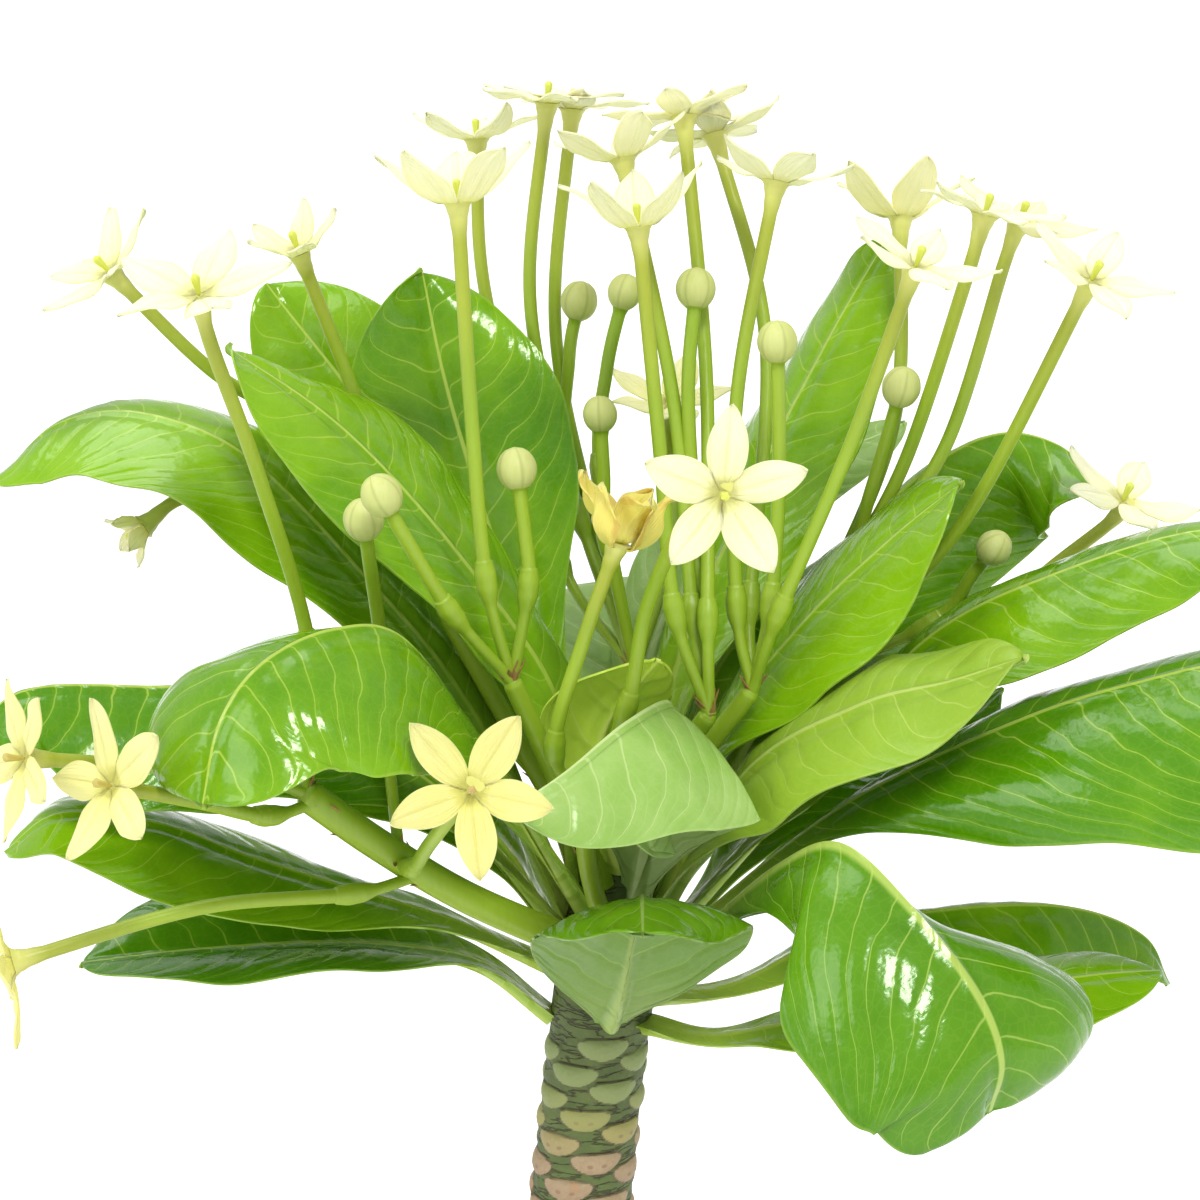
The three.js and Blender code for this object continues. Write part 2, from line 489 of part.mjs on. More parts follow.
// path after the start: the calyx, then the tube to its mouth or bud. from: where on the stem the
// stalk leaves it. bud: size of a closed bud. bloom: a name that touching stars share
const sprays = [
  { name: 'spray_left_front', turn: 232, seat: 324, radius: 4.6,
    path: [[-24, -24, 343], [-47, -37, 362], [-67, -46, 380]],
    shoots: [
      { from: 0.62, path: [[-38, -44, 358], [-32, -64, 371], [-21, -90, 392], [-20, -98, 395]], spin: -10 },
      { from: 0.5, path: [[-54, -45, 351], [-93, -60, 352], [-141, -72, 341]] },
      { from: 1, path: [[-77, -50, 384], [-103, -62, 391], [-134, -82, 399]] },
      { from: 0.95, path: [[-75, -56, 376], [-90, -74, 385], [-110, -96, 396]] },
      { from: 1, path: [[-66, -26, 414], [-76, -44, 463], [-86, -60, 501], [-88, -66, 515]], lift: 18,
        size: 1.1 },
      { from: 0.6, path: [[-46, -20, 388], [-47, -21, 414], [-49, -33, 440], [-50, -36, 451]], bud: 1 },
    ] },
  { name: 'spray_left_centre', turn: 245, seat: 342, radius: 2.8,
    path: [[6, -15, 360], [-2, -27, 383], [-12, -34, 408]],
    shoots: [
      { path: [[-18, -36, 435], [-22, -30, 482], [-25, -26, 534]], lift: 52, size: 1.15, spin: 20 },
      { path: [[-27, -44, 428], [-39, -52, 451], [-44, -54, 461]], bud: 1 },
      { path: [[-7, -32, 432], [-8, -30, 447], [-10, -28, 463]], bud: 1 },
    ] },
  { name: 'spray_left_back', turn: 152, seat: 343, radius: 2.8,
    path: [[-9, 9, 375], [-26, 16, 404], [-39, 24, 427]],
    shoots: [
      { path: [[-51, 32, 456], [-60, 30, 482], [-71, 18, 516]], lift: 46, size: 0.72 },
      { path: [[-72, 36, 462], [-96, 24, 481], [-122, 10, 511]], lift: 28 },
      { from: 0.25, path: [[-36, 38, 392], [-88, 52, 434], [-107, 49, 440], [-120, 43, 432]], lift: 66,
        size: 0.55 },
    ] },
  { name: 'spray_front', turn: 262, seat: 329, radius: 2.8,
    path: [[9, -22, 350], [7, -34, 374]],
    shoots: [
      { path: [[0, -46, 392], [8, -47, 422], [17, -46, 448]], kind: 'agedPetal', lift: 75 },
      { path: [[19, -44, 402], [24, -50, 430], [33, -68, 456], [41, -86, 468], [42, -94, 469]], spin: 22 },
    ] },
  { name: 'spray_centre', turn: 303, seat: 344, radius: 2.8,
    path: [[28, -14, 370], [42, -24, 396]],
    shoots: [
      { path: [[32, -22, 423], [28, -16, 466], [22, -10, 526]], lift: 50, size: 1.15, spin: 18 },
      { path: [[37, -14, 421], [32, 4, 476], [18, 19, 541]], spin: 5, lift: 38 },
      { path: [[41, -20, 421], [41, 10, 483], [35, 34, 551]], bloom: 'bloom_top_pair', spin: 41 },
      { path: [[39, -8, 430], [36, 2, 476], [38, 8, 506]], bud: 1 },
    ] },
  { name: 'spray_right_centre', turn: 345, seat: 346, radius: 2.8,
    path: [[38, -10, 376], [54, -18, 401]],
    shoots: [
      { path: [[49, -14, 423], [49, -2, 477], [60, 14, 535]], lift: 22 },
      { path: [[60, -26, 424], [78, -32, 471], [93, -42, 519]], lift: 16 },
      { path: [[53, -4, 422], [58, 24, 489], [44, 46, 545]], bloom: 'bloom_top_pair', spin: 53 },
      { path: [[58, -18, 425], [60, -14, 457], [59, -16, 495]], bud: 1 },
    ] },
  { name: 'spray_right', turn: 12, seat: 330, radius: 2.8,
    path: [[42, 8, 358], [63, 14, 394]],
    shoots: [
      { path: [[77, 26, 419], [94, 22, 468], [96, 38, 523]], lift: 48, size: 1.1 },
      { path: [[82, 24, 425], [97, 18, 457], [110, -2, 509], [115, -2, 528]], bloom: 'bloom_right_pair' },
      { path: [[86, 20, 428], [108, 20, 460], [123, 20, 511], [127, 18, 524]], bloom: 'bloom_right_pair' },
      { path: [[92, 8, 418], [114, -4, 449], [140, -30, 514]], lift: 18 },
      { path: [[80, 25, 421], [88, 20, 449], [95, 14, 478]], bud: 1 },
      { path: [[103, 18, 392], [135, 24, 421], [155, 20, 439], [158, 18, 446]] },
      { path: [[104, 16, 410], [116, 12, 426], [121, 8, 434]], bud: 0.9 },
    ] },
  { name: 'spray_back', turn: 70, seat: 349, radius: 2.8,
    path: [[20, 18, 372], [22, 32, 394]],
    shoots: [
      { path: [[0, 60, 420], [-21, 74, 493], [-24, 80, 541]], lift: 26, spin: 12 },
      { path: [[6, 52, 434], [-8, 62, 493], [-3, 62, 553]], bloom: 'bloom_back_pair' },
      { path: [[11, 58, 427], [-1, 68, 486], [4, 75, 550]], bloom: 'bloom_back_pair', spin: 62 },
      { path: [[32, 60, 419], [33, 80, 444], [32, 74, 464]], lift: 24 },
      { path: [[3, 62, 444], [3, 64, 478], [6, 64, 495]], bud: 1 },
      { path: [[12, 44, 449], [14, 46, 478], [19, 46, 500]], bud: 0.9 },
      { path: [[14, 30, 432], [13, 28, 452], [12, 28, 468]], bud: 0.9 },
    ] },
];

const blooms = new Map();

for (const spray of sprays) {
  const seat = seatPoint(spray.turn, spray.seat, gap + spray.radius * 0.7);
  const stem = curveFrom(seat, spray.path);
  const length = stem.getLength();
  const stations = [[0, spray.radius], ...evenStations(0, length, spray.radius), [length, spray.radius]];
  let solid = sweptSolid(stem, stations, stalk.sides);
  spray.shoots.forEach((shoot, index) => {
    const curve = curveFrom(stem.getPoint((shoot.from ?? 1) * 0.98), shoot.path);
    solid = solid.add(stalkSolid(curve, shoot));
    if (!shoot.bud) {
      const bloom = starSolid(shoot, curve.getPoint(1), curve.getTangent(1));
      const name = shoot.bloom ?? `${spray.name.replace('spray', 'bloom')}_${index + 1}`;
      const joined = blooms.get(name);
      blooms.set(name, { solid: joined ? joined.solid.add(bloom) : bloom, kind: shoot.kind ?? 'petal' });
    }
  });
  addPiece(spray.name, toGeometry(solid), 'stem');
}

for (const [name, { solid, kind }] of blooms) {
  addPiece(name, toGeometry(solid), kind);
}

addPiece('pot', toGeometry(potSolid()), 'terracotta');
addPiece('soil', toGeometry(soilSolid()), 'soil');
addPiece('trunk', toGeometry(trunkSolid()), 'bark');

export default plant;
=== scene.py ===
# %% [markdown]
# # A potted vulcan palm in flower
#
# The real plant is a thick, scarred trunk in a clay pot. It carries a crown of glossy leaves and
# sprays of star flowers on long tubes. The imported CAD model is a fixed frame: it says where each
# leaf, spray and bloom stands. This lesson gives each of them a fine mesh and a finish, and each
# mesh keeps the place and form of the solid that it stands for.

# %% Load the frame
import math
import random

import bpy
import numpy as np
from mathutils import Matrix, Vector, noise


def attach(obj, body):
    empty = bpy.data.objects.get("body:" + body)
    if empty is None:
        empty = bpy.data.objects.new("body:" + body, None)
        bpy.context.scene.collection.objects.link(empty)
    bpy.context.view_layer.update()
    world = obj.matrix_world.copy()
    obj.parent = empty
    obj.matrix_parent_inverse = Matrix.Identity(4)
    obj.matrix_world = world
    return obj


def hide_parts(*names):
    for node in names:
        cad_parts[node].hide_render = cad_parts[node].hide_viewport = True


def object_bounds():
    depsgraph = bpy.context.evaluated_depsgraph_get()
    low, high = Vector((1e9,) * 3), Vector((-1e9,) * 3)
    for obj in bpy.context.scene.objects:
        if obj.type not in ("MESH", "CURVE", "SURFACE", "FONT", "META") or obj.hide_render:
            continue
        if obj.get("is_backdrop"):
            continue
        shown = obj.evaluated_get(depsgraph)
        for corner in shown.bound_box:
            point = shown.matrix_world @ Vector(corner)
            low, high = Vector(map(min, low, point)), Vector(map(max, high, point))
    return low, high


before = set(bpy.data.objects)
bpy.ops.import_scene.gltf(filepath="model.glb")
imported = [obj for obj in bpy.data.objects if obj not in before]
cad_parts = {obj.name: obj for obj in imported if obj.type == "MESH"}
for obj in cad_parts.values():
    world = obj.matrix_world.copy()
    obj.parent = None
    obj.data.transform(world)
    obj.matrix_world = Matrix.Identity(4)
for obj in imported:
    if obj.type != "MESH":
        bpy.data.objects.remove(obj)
cad_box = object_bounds()
bpy.ops.object.select_all(action="DESELECT")
MM = 0.001
BODY = "root"
print(len(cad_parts), "CAD nodes, overall", [round((b - a) / MM) for a, b in zip(*cad_box)], "mm")

# %% [markdown]
# ## The view
#
# The photograph looks slightly down on the crown. Its width covers 330 mm at the trunk, and the
# lens follows from that width and the distance. The camera stands straight in front, so the frame's
# +X runs to the right of the picture.

# %% Camera
AIM = Vector((0.012, 0, 0.421))
DISTANCE = 0.9
HALF_WIDTH = 0.165
LOOKING_DOWN = math.radians(13)

lens = bpy.data.cameras.new("photo_view")
lens.sensor_width = 36
lens.lens = lens.sensor_width / 2 * DISTANCE / HALF_WIDTH
lens.clip_end = 100
camera = bpy.data.objects.new("photo_view", lens)
camera.location = AIM + DISTANCE * Vector((0, -math.cos(LOOKING_DOWN), math.sin(LOOKING_DOWN)))
camera.rotation_euler = (math.pi / 2 - LOOKING_DOWN, 0, 0)
bpy.context.scene.collection.objects.link(camera)
bpy.context.scene.camera = camera
print("lens", round(lens.lens, 1), "mm")

# %% [markdown]
# ## Shader sums in plain Python
#
# A procedural material is a tree of nodes, and most of its nodes are sums. The small class below
# wraps one socket of the tree, so that a sum on it adds the Math nodes for that sum. Any other node
# comes from one method that takes the node's type, its settings and what goes into its sockets.
# Writing materials this way keeps each pattern to a few readable lines.

# %% Socket class
class Socket:
    """One output of a material's tree, which takes part in sums as a number does."""

    def __init__(self, socket):
        self.socket = socket

    def node(self, kind, settings=None, inputs=None, out=0):
        """Adds a node of this kind: its settings first, then the values or links of its inputs."""
        made = self.socket.id_data.nodes.new(kind)
        for name, value in (settings or {}).items():
            if name == "stops":
                set_stops(made.color_ramp, value)
            else:
                setattr(made, name, value)
        for name, value in (inputs or {}).items():
            if isinstance(value, Socket):
                self.socket.id_data.links.new(value.socket, made.inputs[name])
            else:
                made.inputs[name].default_value = value
        return Socket(made.outputs[out]) if made.outputs else None

    def math(self, operation, *values):
        return self.node("ShaderNodeMath", {"operation": operation}, dict(enumerate(values)))

    def __add__(self, other):
        return self.math("ADD", self, other)

    def __sub__(self, other):
        return self.math("SUBTRACT", self, other)

    def __mul__(self, other):
        return self.math("MULTIPLY", self, other)

    def __truediv__(self, other):
        return self.math("DIVIDE", self, other)

    def __pow__(self, other):
        return self.math("POWER", self, other)

    def __abs__(self):
        return self.math("ABSOLUTE", self)

    def __radd__(self, other):
        return self.math("ADD", other, self)

    def __rsub__(self, other):
        return self.math("SUBTRACT", other, self)

    def __rmul__(self, other):
        return self.math("MULTIPLY", other, self)


def set_stops(ramp, stops):
    """stops: (place, colour) from left to right."""
    while len(ramp.elements) < len(stops):
        ramp.elements.new(1)
    for element, (place, colour) in zip(ramp.elements, stops):
        element.position = place
        element.color = (*colour, 1)


# %% Helpers on sockets
def ramp_down(value, start, end):
    """1 below start, 0 above end, and smooth between them."""
    inputs = {0: value, 1: start, 2: end, 3: 1.0, 4: 0.0}
    return value.node("ShaderNodeMapRange", {"interpolation_type": "SMOOTHSTEP"}, inputs)


def tint(factor, first, second):
    """The first colour where factor is 0, the second where it is 1."""
    colours = [c if isinstance(c, Socket) else (*c, 1) for c in (first, second)]
    inputs = {0: factor, 6: colours[0], 7: colours[1]}
    return factor.node("ShaderNodeMix", {"data_type": "RGBA"}, inputs, out=2)


# %% Patterns and materials
def cloud(vector, scale, detail=2.0, roughness=0.5):
    """Soft noise from 0 to 1."""
    inputs = {"Vector": vector, "Scale": scale, "Detail": detail, "Roughness": roughness}
    return vector.node("ShaderNodeTexNoise", None, inputs)


def net_edges(vector, scale):
    """0 on the edges of an irregular net, and more inside its cells."""
    settings = {"feature": "DISTANCE_TO_EDGE"}
    return vector.node("ShaderNodeTexVoronoi", settings, {"Vector": vector, "Scale": scale})


def bump(height, distance, strength=1.0):
    """Turns a height from 0 to 1 into a bumped normal. distance is in metres."""
    inputs = {"Height": height, "Distance": distance, "Strength": strength}
    return height.node("ShaderNodeBump", None, inputs)


def new_material(name):
    """Makes an empty material. Returns it with a socket that gives Object coordinates."""
    made = bpy.data.materials.new(name)
    made.use_nodes = True
    made.node_tree.nodes.clear()
    coordinates = made.node_tree.nodes.new("ShaderNodeTexCoord")
    return made, Socket(coordinates.outputs["Object"])


def attribute(start, name):
    """The three numbers of a vector attribute of the mesh."""
    vector = start.node("ShaderNodeAttribute", {"attribute_name": name}, None, out="Vector")
    return [vector.node("ShaderNodeSeparateXYZ", None, {0: vector}, out=place) for place in range(3)]


def surface(start, inputs):
    """The Principled shader with its inputs, wired to the material's output."""
    shader = start.node("ShaderNodeBsdfPrincipled", None, inputs)
    shader.node("ShaderNodeOutputMaterial", None, {"Surface": shader})


print("shader sums ready")

# %% [markdown]
# ## Floor and light
#
# The photograph is a bright studio picture on white. A wide pale floor fills the whole background,
# because the camera looks down on it. Soft distant lamps light that floor evenly, give the leaves
# their whitish sheen, and lay a faint shadow behind the plant. A pale world fills the shadows.

# %% Floor and lamps
FLOOR_WIDTH = 200

bpy.context.scene.view_settings.view_transform = "Standard"
bpy.ops.mesh.primitive_plane_add(size=FLOOR_WIDTH)
floor = bpy.context.object
floor.name = "studio_floor"
paper, paper_at = new_material("studio_paper")
surface(paper_at, {"Base Color": (0.96, 0.96, 0.96, 1), "Roughness": 0.9})
floor.data.materials.append(paper)
floor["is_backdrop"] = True

world = bpy.data.worlds.new("studio")
world.use_nodes = True
world.node_tree.nodes["Background"].inputs["Color"].default_value = (1, 1, 1, 1)
world.node_tree.nodes["Background"].inputs["Strength"].default_value = 0.7
bpy.context.scene.world = world


def lamp(name, place, strength, softness):
    """A distant lamp that shines from its place towards the crown. softness: its width in degrees."""
    light = bpy.data.lights.new(name, "SUN")
    light.energy = strength
    light.angle = math.radians(softness)
    made = bpy.data.objects.new(name, light)
    made.location = place
    made.rotation_euler = (AIM - Vector(place)).to_track_quat("-Z", "Y").to_euler()
    bpy.context.scene.collection.objects.link(made)


lamp("key_lamp", (0.35, -1.5, 2.2), 1.8, 15)
lamp("left_lamp", (-1.7, -1.0, 1.6), 0.9, 34)
lamp("top_lamp", (-0.5, 0.7, 2.4), 1.0, 38)
print("floor and lamps ready")

# %% [markdown]
# ## Lines and sheets
#
# Leaves, stalks and the trunk all follow a line in space. A leaf's midrib and a stalk's middle are
# each given by a few points, and a smooth line runs through them. A grid primitive is then laid
# along the line: its columns run across the piece and its rows along it. Edit mode could pull the
# rows one by one, but a formula places thousands of vertices evenly and repeats for every leaf.

# %% Smooth lines
class Line:
    """A smooth line through points in millimetres, read at shares of its length."""

    def __init__(self, points, samples=600):
        inner = np.array(points, float)
        ends = [2 * inner[0] - inner[1]], [2 * inner[-1] - inner[-2]]
        p = np.vstack([ends[0], inner, ends[1]])
        t = np.linspace(0, len(inner) - 1, samples)
        i = np.minimum(t.astype(int), len(inner) - 2)
        w = (t - i)[:, None]
        start, finish = (p[i + 2] - p[i]) / 2, (p[i + 3] - p[i + 1]) / 2
        step = p[i + 2] - p[i + 1]
        self.dense = p[i + 1] + start * w + (3 * step - 2 * start - finish) * w**2
        self.dense += (start + finish - 2 * step) * w**3
        steps = np.linalg.norm(np.diff(self.dense, axis=0), axis=1)
        self.at = np.concatenate([[0], np.cumsum(steps)])
        self.length = self.at[-1]
        self.knots = np.interp(np.arange(len(inner)), t, self.at)

    def points(self, shares):
        return np.stack([np.interp(shares, self.at / self.length, axis) for axis in self.dense.T], -1)

    def directions(self, shares):
        little = 0.002
        way = self.points(np.minimum(shares + little, 1)) - self.points(np.maximum(shares - little, 0))
        return unit(way)


def unit(vectors):
    return vectors / np.linalg.norm(vectors, axis=-1, keepdims=True)


def smooth(low, high, value):
    """0 below low, 1 above high, and smooth between them."""
    share = np.clip((value - low) / (high - low), 0, 1)
    return share * share * (3 - 2 * share)


bow = Line([(0, 0, 0), (50, 0, 50), (100, 0, 0)])
print("a bow 100 mm wide and 50 mm high is", round(bow.length), "mm long")

# %% Grids laid along a line
def new_grid(name, columns, rows):
    """A grid primitive, with the place of each vertex across it (-1 to 1) and along it (0 to 1)."""
    bpy.ops.mesh.primitive_grid_add(x_subdivisions=columns, y_subdivisions=rows, size=2)
    piece = bpy.context.object
    piece.name = name
    piece.data.name = name
    flat = np.empty(3 * len(piece.data.vertices))
    piece.data.vertices.foreach_get("co", flat)
    flat = flat.reshape(-1, 3)
    return piece, flat[:, 0], (flat[:, 1] + 1) / 2


def place_vertices(piece, points):
    """points: one for each vertex, in millimetres."""
    piece.data.vertices.foreach_set("co", (points * MM).ravel())
    piece.data.update()


def note(piece, name, *columns):
    """Keeps three numbers for each vertex, which the material reads by this name."""
    layer = piece.data.attributes.new(name, "FLOAT_VECTOR", "POINT")
    count = len(piece.data.vertices)
    values = np.stack([np.broadcast_to(np.asarray(c, float), count) for c in columns], -1)
    layer.data.foreach_set("vector", values.astype(np.float32).ravel())


def only(*pieces):
    """Selects these pieces alone. The first is the active one."""
    bpy.ops.object.select_all(action="DESELECT")
    for piece in pieces:
        piece.select_set(True)
    bpy.context.view_layer.objects.active = pieces[0]


def modify(piece, kind, **settings):
    """Adds a modifier with its settings and applies it."""
    only(piece)
    made = piece.modifiers.new(kind.lower(), kind)
    for name, value in settings.items():
        setattr(made, name, value)
    bpy.ops.object.modifier_apply(modifier=made.name)


def join(name, pieces):
    """Joins pieces into the first one, gives it the name and closes seams and poles."""
    only(*pieces)
    if len(pieces) > 1:
        bpy.ops.object.join()
    piece = bpy.context.object
    piece.name = name
    piece.data.name = name
    close_seams(piece)
    return piece


def close_seams(piece):
    only(piece)
    bpy.ops.object.mode_set(mode="EDIT")
    bpy.ops.mesh.select_all(action="SELECT")
    bpy.ops.mesh.remove_doubles(threshold=2e-6)
    bpy.ops.object.mode_set(mode="OBJECT")


def dress(piece, material, slot, *nodes):
    """Smooth faces, the finish, the body that carries the piece and the solids that it stands for."""
    only(piece)
    bpy.ops.object.shade_smooth_by_angle(angle=math.radians(50))
    piece.data.materials.clear()
    piece.data.materials.append(material)
    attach(piece, BODY)
    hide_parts(*nodes)


print("grids ready")

# %% [markdown]
# ## Trunk
#
# The trunk is a water store: bulbous at the soil and slim below the crown. Each fallen leaf leaves a
# lens-shaped scar, and the scars wind up in a spiral of 137.5 degrees a leaf. A grid is rolled into a
# tube and the scars are raised by a formula, so they sit in the same spiral as on the solid. The
# vertices also keep how far they stand on a scar, and the finish paints the scars by it.

# %% Trunk shape
SOIL_TOP = 112
TRUNK = {"foot": 66, "crown": 298, "tip": 352, "radius": 14.4, "swell": 17, "lean": 12}
SCAR = {"pitch": 1.62, "turn": 137.5, "half_width": 0.62, "half_height": 3.6, "relief": 1.1, "lip": 0.7}


def trunk_centre(z):
    rise = np.maximum(0, (z - SOIL_TOP) / (TRUNK["crown"] - SOIL_TOP))
    return TRUNK["lean"] * rise**1.8


def trunk_radius(z):
    """Buried foot, tapered trunk and rounded crown."""
    z = np.asarray(z, float)
    rise = np.clip((z - SOIL_TOP) / (TRUNK["crown"] - SOIL_TOP), 0, 1)
    over = np.clip((z - TRUNK["crown"]) / (TRUNK["tip"] - TRUNK["crown"]), 0, 1)
    under = np.clip((SOIL_TOP - z) / (SOIL_TOP - TRUNK["foot"]), 0, 1)
    body = TRUNK["radius"] + TRUNK["swell"] * (1 - rise) ** 3
    return body * np.sqrt(1 - over**4) * np.sqrt(1 - under**2)


def scar_height(angle, z):
    """How far a point stands on its highest scar, that scar's number, and the place up and across it."""
    best, number, level, aside = (np.zeros_like(z) for _ in range(4))
    nearest = np.round((TRUNK["crown"] - z) / SCAR["pitch"])
    for step in range(-4, 5):
        index = np.maximum(0, nearest + step)
        turn = angle - np.radians(index * SCAR["turn"])
        across = np.arctan2(np.sin(turn), np.cos(turn)) / SCAR["half_width"]
        up = (z - (TRUNK["crown"] - index * SCAR["pitch"])) / SCAR["half_height"]
        height = 1 - across**2 - (up - 0.5 * across**2) ** 2
        higher = height > best
        number = np.where(higher, index, number)
        level = np.where(higher, up - 0.5 * across**2, level)
        aside = np.where(higher, across, aside)
        best = np.maximum(best, height)
    return best, number, level, aside


def wander(points, scale, seed=0.0):
    """Smooth noise, from -1 to 1, at points in millimetres."""
    return np.array([noise.noise(Vector(p) * scale + Vector((seed, seed, seed))) for p in points])


print("trunk radius:", round(float(trunk_radius(SOIL_TOP)), 1), "mm at the soil and",
      round(float(trunk_radius(TRUNK["crown"])), 1), "mm at the crown")

# %% Trunk mesh
TRUNK_SIDES = 168
TRUNK_ROWS = 430
TRUNK_ROOTED = 14
FOLD_HEIGHT = 0.5

trunk, across, share = new_grid("scarred_trunk", TRUNK_SIDES, TRUNK_ROWS)
z = SOIL_TOP - TRUNK_ROOTED + (TRUNK["tip"] - SOIL_TOP + TRUNK_ROOTED) * share
angle = math.pi * across
height, number, level, aside = scar_height(angle, z)
bare = smooth(TRUNK["crown"] + 4, TRUNK["crown"] - 1, z) * smooth(SOIL_TOP - 2, SOIL_TOP + 6, z)
face = smooth(0.14, 0.3, height) * bare
lip = np.exp(-(((level - 0.9) / 0.22) ** 2)) * smooth(1.05, 0.6, np.abs(aside)) * bare
skin = np.stack([np.cos(angle) * 20, np.sin(angle) * 20, z * 2], -1)
folds = wander(skin, 0.16) * 0.7 + wander(skin, 0.6, 7) * 0.3
relief = (SCAR["relief"] * (height - 0.35) + FOLD_HEIGHT * folds * (1 - 0.6 * face)) * bare
relief -= SCAR["lip"] * lip
is_pole = (share > 0.9999) | (share < 0.0001)
radius = np.where(is_pole, 0, trunk_radius(z) + relief)
place_vertices(trunk, np.stack([trunk_centre(z) + radius * np.cos(angle), radius * np.sin(angle), z], -1))
note(trunk, "scar", face, number, lip)
note(trunk, "scar_place", aside, level, folds)
close_seams(trunk)
print("trunk:", len(trunk.data.polygons), "faces")

# %% [markdown]
# ## Bark finish
#
# The bark is dark green and corky, with fine wavy cracks. The scars are dry and beige with brown
# dots where the vessels ran, and the newest ones at the crown are still pale green. A dark line of
# painted shade runs in the groove above each scar. The pattern reads the scar attribute and Object
# coordinates, so it stays on the trunk in every view.

# %% Bark
bark, at = new_material("bark")
on_scar, scar_number, lip_groove_shade = attribute(at, "scar")
aside, level, folds = attribute(at, "scar_place")
stretched = at.node("ShaderNodeMapping", None, {"Vector": at, "Scale": (1, 1, 4.5)})
cracks = ramp_down(abs(cloud(stretched, 75, 3) - 0.5), 0.0, 0.035)
mottle = cloud(at, 130, 4)
dust = cloud(at, 800, 3)
corky = tint(mottle, (0.03, 0.06, 0.01), (0.13, 0.17, 0.04))
corky = tint(cracks * 0.8, corky, (0.035, 0.025, 0.01))
# Painted shade: a dark line along the groove above each scar, where shade would fall.
corky = tint(lip_groove_shade * 0.85, corky, (0.03, 0.018, 0.008))
new_scar = ramp_down(scar_number, 9, 19)
olive_scar = ramp_down(scar_number, 16, 24)
dry = tint(dust * 0.6 + mottle * 0.5, (0.2, 0.13, 0.065), (0.42, 0.31, 0.19))
dry = tint(ramp_down(mottle, 0.3, 0.42) * 0.7, dry, (0.42, 0.2, 0.07))
scar_colour = tint(olive_scar * 0.75, dry, (0.3, 0.3, 0.07))
scar_colour = tint(new_scar * 0.8, scar_colour, (0.2, 0.27, 0.1))
vessel = (abs(abs(aside) - 0.22) * 6) ** 2 + (level + 0.1) * (level + 0.1) * 12
scar_colour = tint(ramp_down(vessel, 0.1, 0.5) * 0.6 * (1 - new_scar), scar_colour, (0.2, 0.11, 0.06))
colour = tint(on_scar, corky, scar_colour)
edge = on_scar * (1 - on_scar) * 4
colour = tint(edge * 0.6, colour, (0.05, 0.04, 0.015))
relief_height = mottle * 0.5 + dust * 0.5 - cracks * (1 - on_scar) * 0.8
surface(at, {"Base Color": colour, "Roughness": 0.5 + dust * 0.3, "Normal": bump(relief_height, 0.0005)})
dress(trunk, bark, "bark", "trunk")
print("bark ready")

# %% [markdown]
# ## Leaves
#
# A leaf is one thick, shiny blade on a keeled midrib. It could be sculpted, but 26 of them would
# never stay even. Here every leaf is a grid laid along its midrib: a width curve gives its outline,
# each half is raised or lowered along the way, and the margin is waved. Between the side veins the
# blade is puffed, and the veins stray a little, as on the real leaf. A Solidify modifier then gives
# it its thickness, with a vertex group that makes the keel thick and the margin thin.

# %% Leaf sizes
BLADE = {"clear": -1.5, "thickness": 1.0, "margin": 0.6, "keel": 3.2, "keel_tip": 0.7, "rib": 3.0,
         "rib_tip": 1.1, "strap": 4.6, "bulge": 0.06, "flat_tip": 24, "puff": 0.24}
VEIN = {"pitch": 9.5, "slant": 0.42, "sweep": 0.011, "loop": 9.0, "stray": 0.55}
LEAF_COLUMNS = 36
LEAF_ROWS = 104
LEAF_SPACING = {"columns": 1.25, "rows": 1.35}
BLADE_ATTRIBUTE = "blade"
FACE_ATTRIBUTE = "face"
VEIN_ATTRIBUTE = "veins"


def through(values, u):
    """A smooth run through values spaced evenly from the foot of a leaf to its tip."""
    place = u * (len(values) - 1)
    total = 0.0
    for index, value in enumerate(values):
        others = [other for other in range(len(values)) if other != index]
        total = total + value * np.prod([(place - other) / (index - other) for other in others], axis=0)
    return total


def seat_point(turn, z, clear):
    out = float(trunk_radius(z)) + clear
    angle = math.radians(turn)
    return [float(trunk_centre(z)) + out * math.cos(angle), out * math.sin(angle), z]


def half_width(leaf, u):
    belly = math.log(0.5) / math.log(leaf.get("widest", 0.66))
    strap = BLADE["strap"] * (1 - u**3)
    fullness = leaf.get("foot", 1.3) * (1 - u) + leaf.get("tip", 0.55) * u
    lamina = leaf["width"] / 2 * np.maximum(0, np.sin(math.pi * u**belly)) ** fullness
    return np.maximum(0.5, np.hypot(strap, lamina))


print("a blade is", BLADE["thickness"], "mm thick and", BLADE["margin"], "mm at its margin")

# %% Side veins
def vein_count(along, width, reach, number):
    """Counts the side veins from the foot: whole numbers lie on a vein."""
    forward = VEIN["slant"] * np.abs(width) + VEIN["sweep"] * width**2 + VEIN["loop"] * reach**8
    flat = np.stack([width, along, np.full_like(width, 50.0 * number)], -1)
    stray = VEIN["stray"] * wander(flat, 0.045) + 0.3 * VEIN["stray"] * wander(flat, 0.15, 3)
    return (along - forward) / VEIN["pitch"] + 0.25 * np.tanh(width / 0.8) + stray


# %% Relief of a blade
SMALL_WAVE = {"height": (0.5, 1.0), "length": (5.5, 8)}
WANDER = {"blister": (0.6, 0.075), "sway": (1.3, 0.034)}
MIDRIB = {"ridge": 0.9, "groove": 0.5}


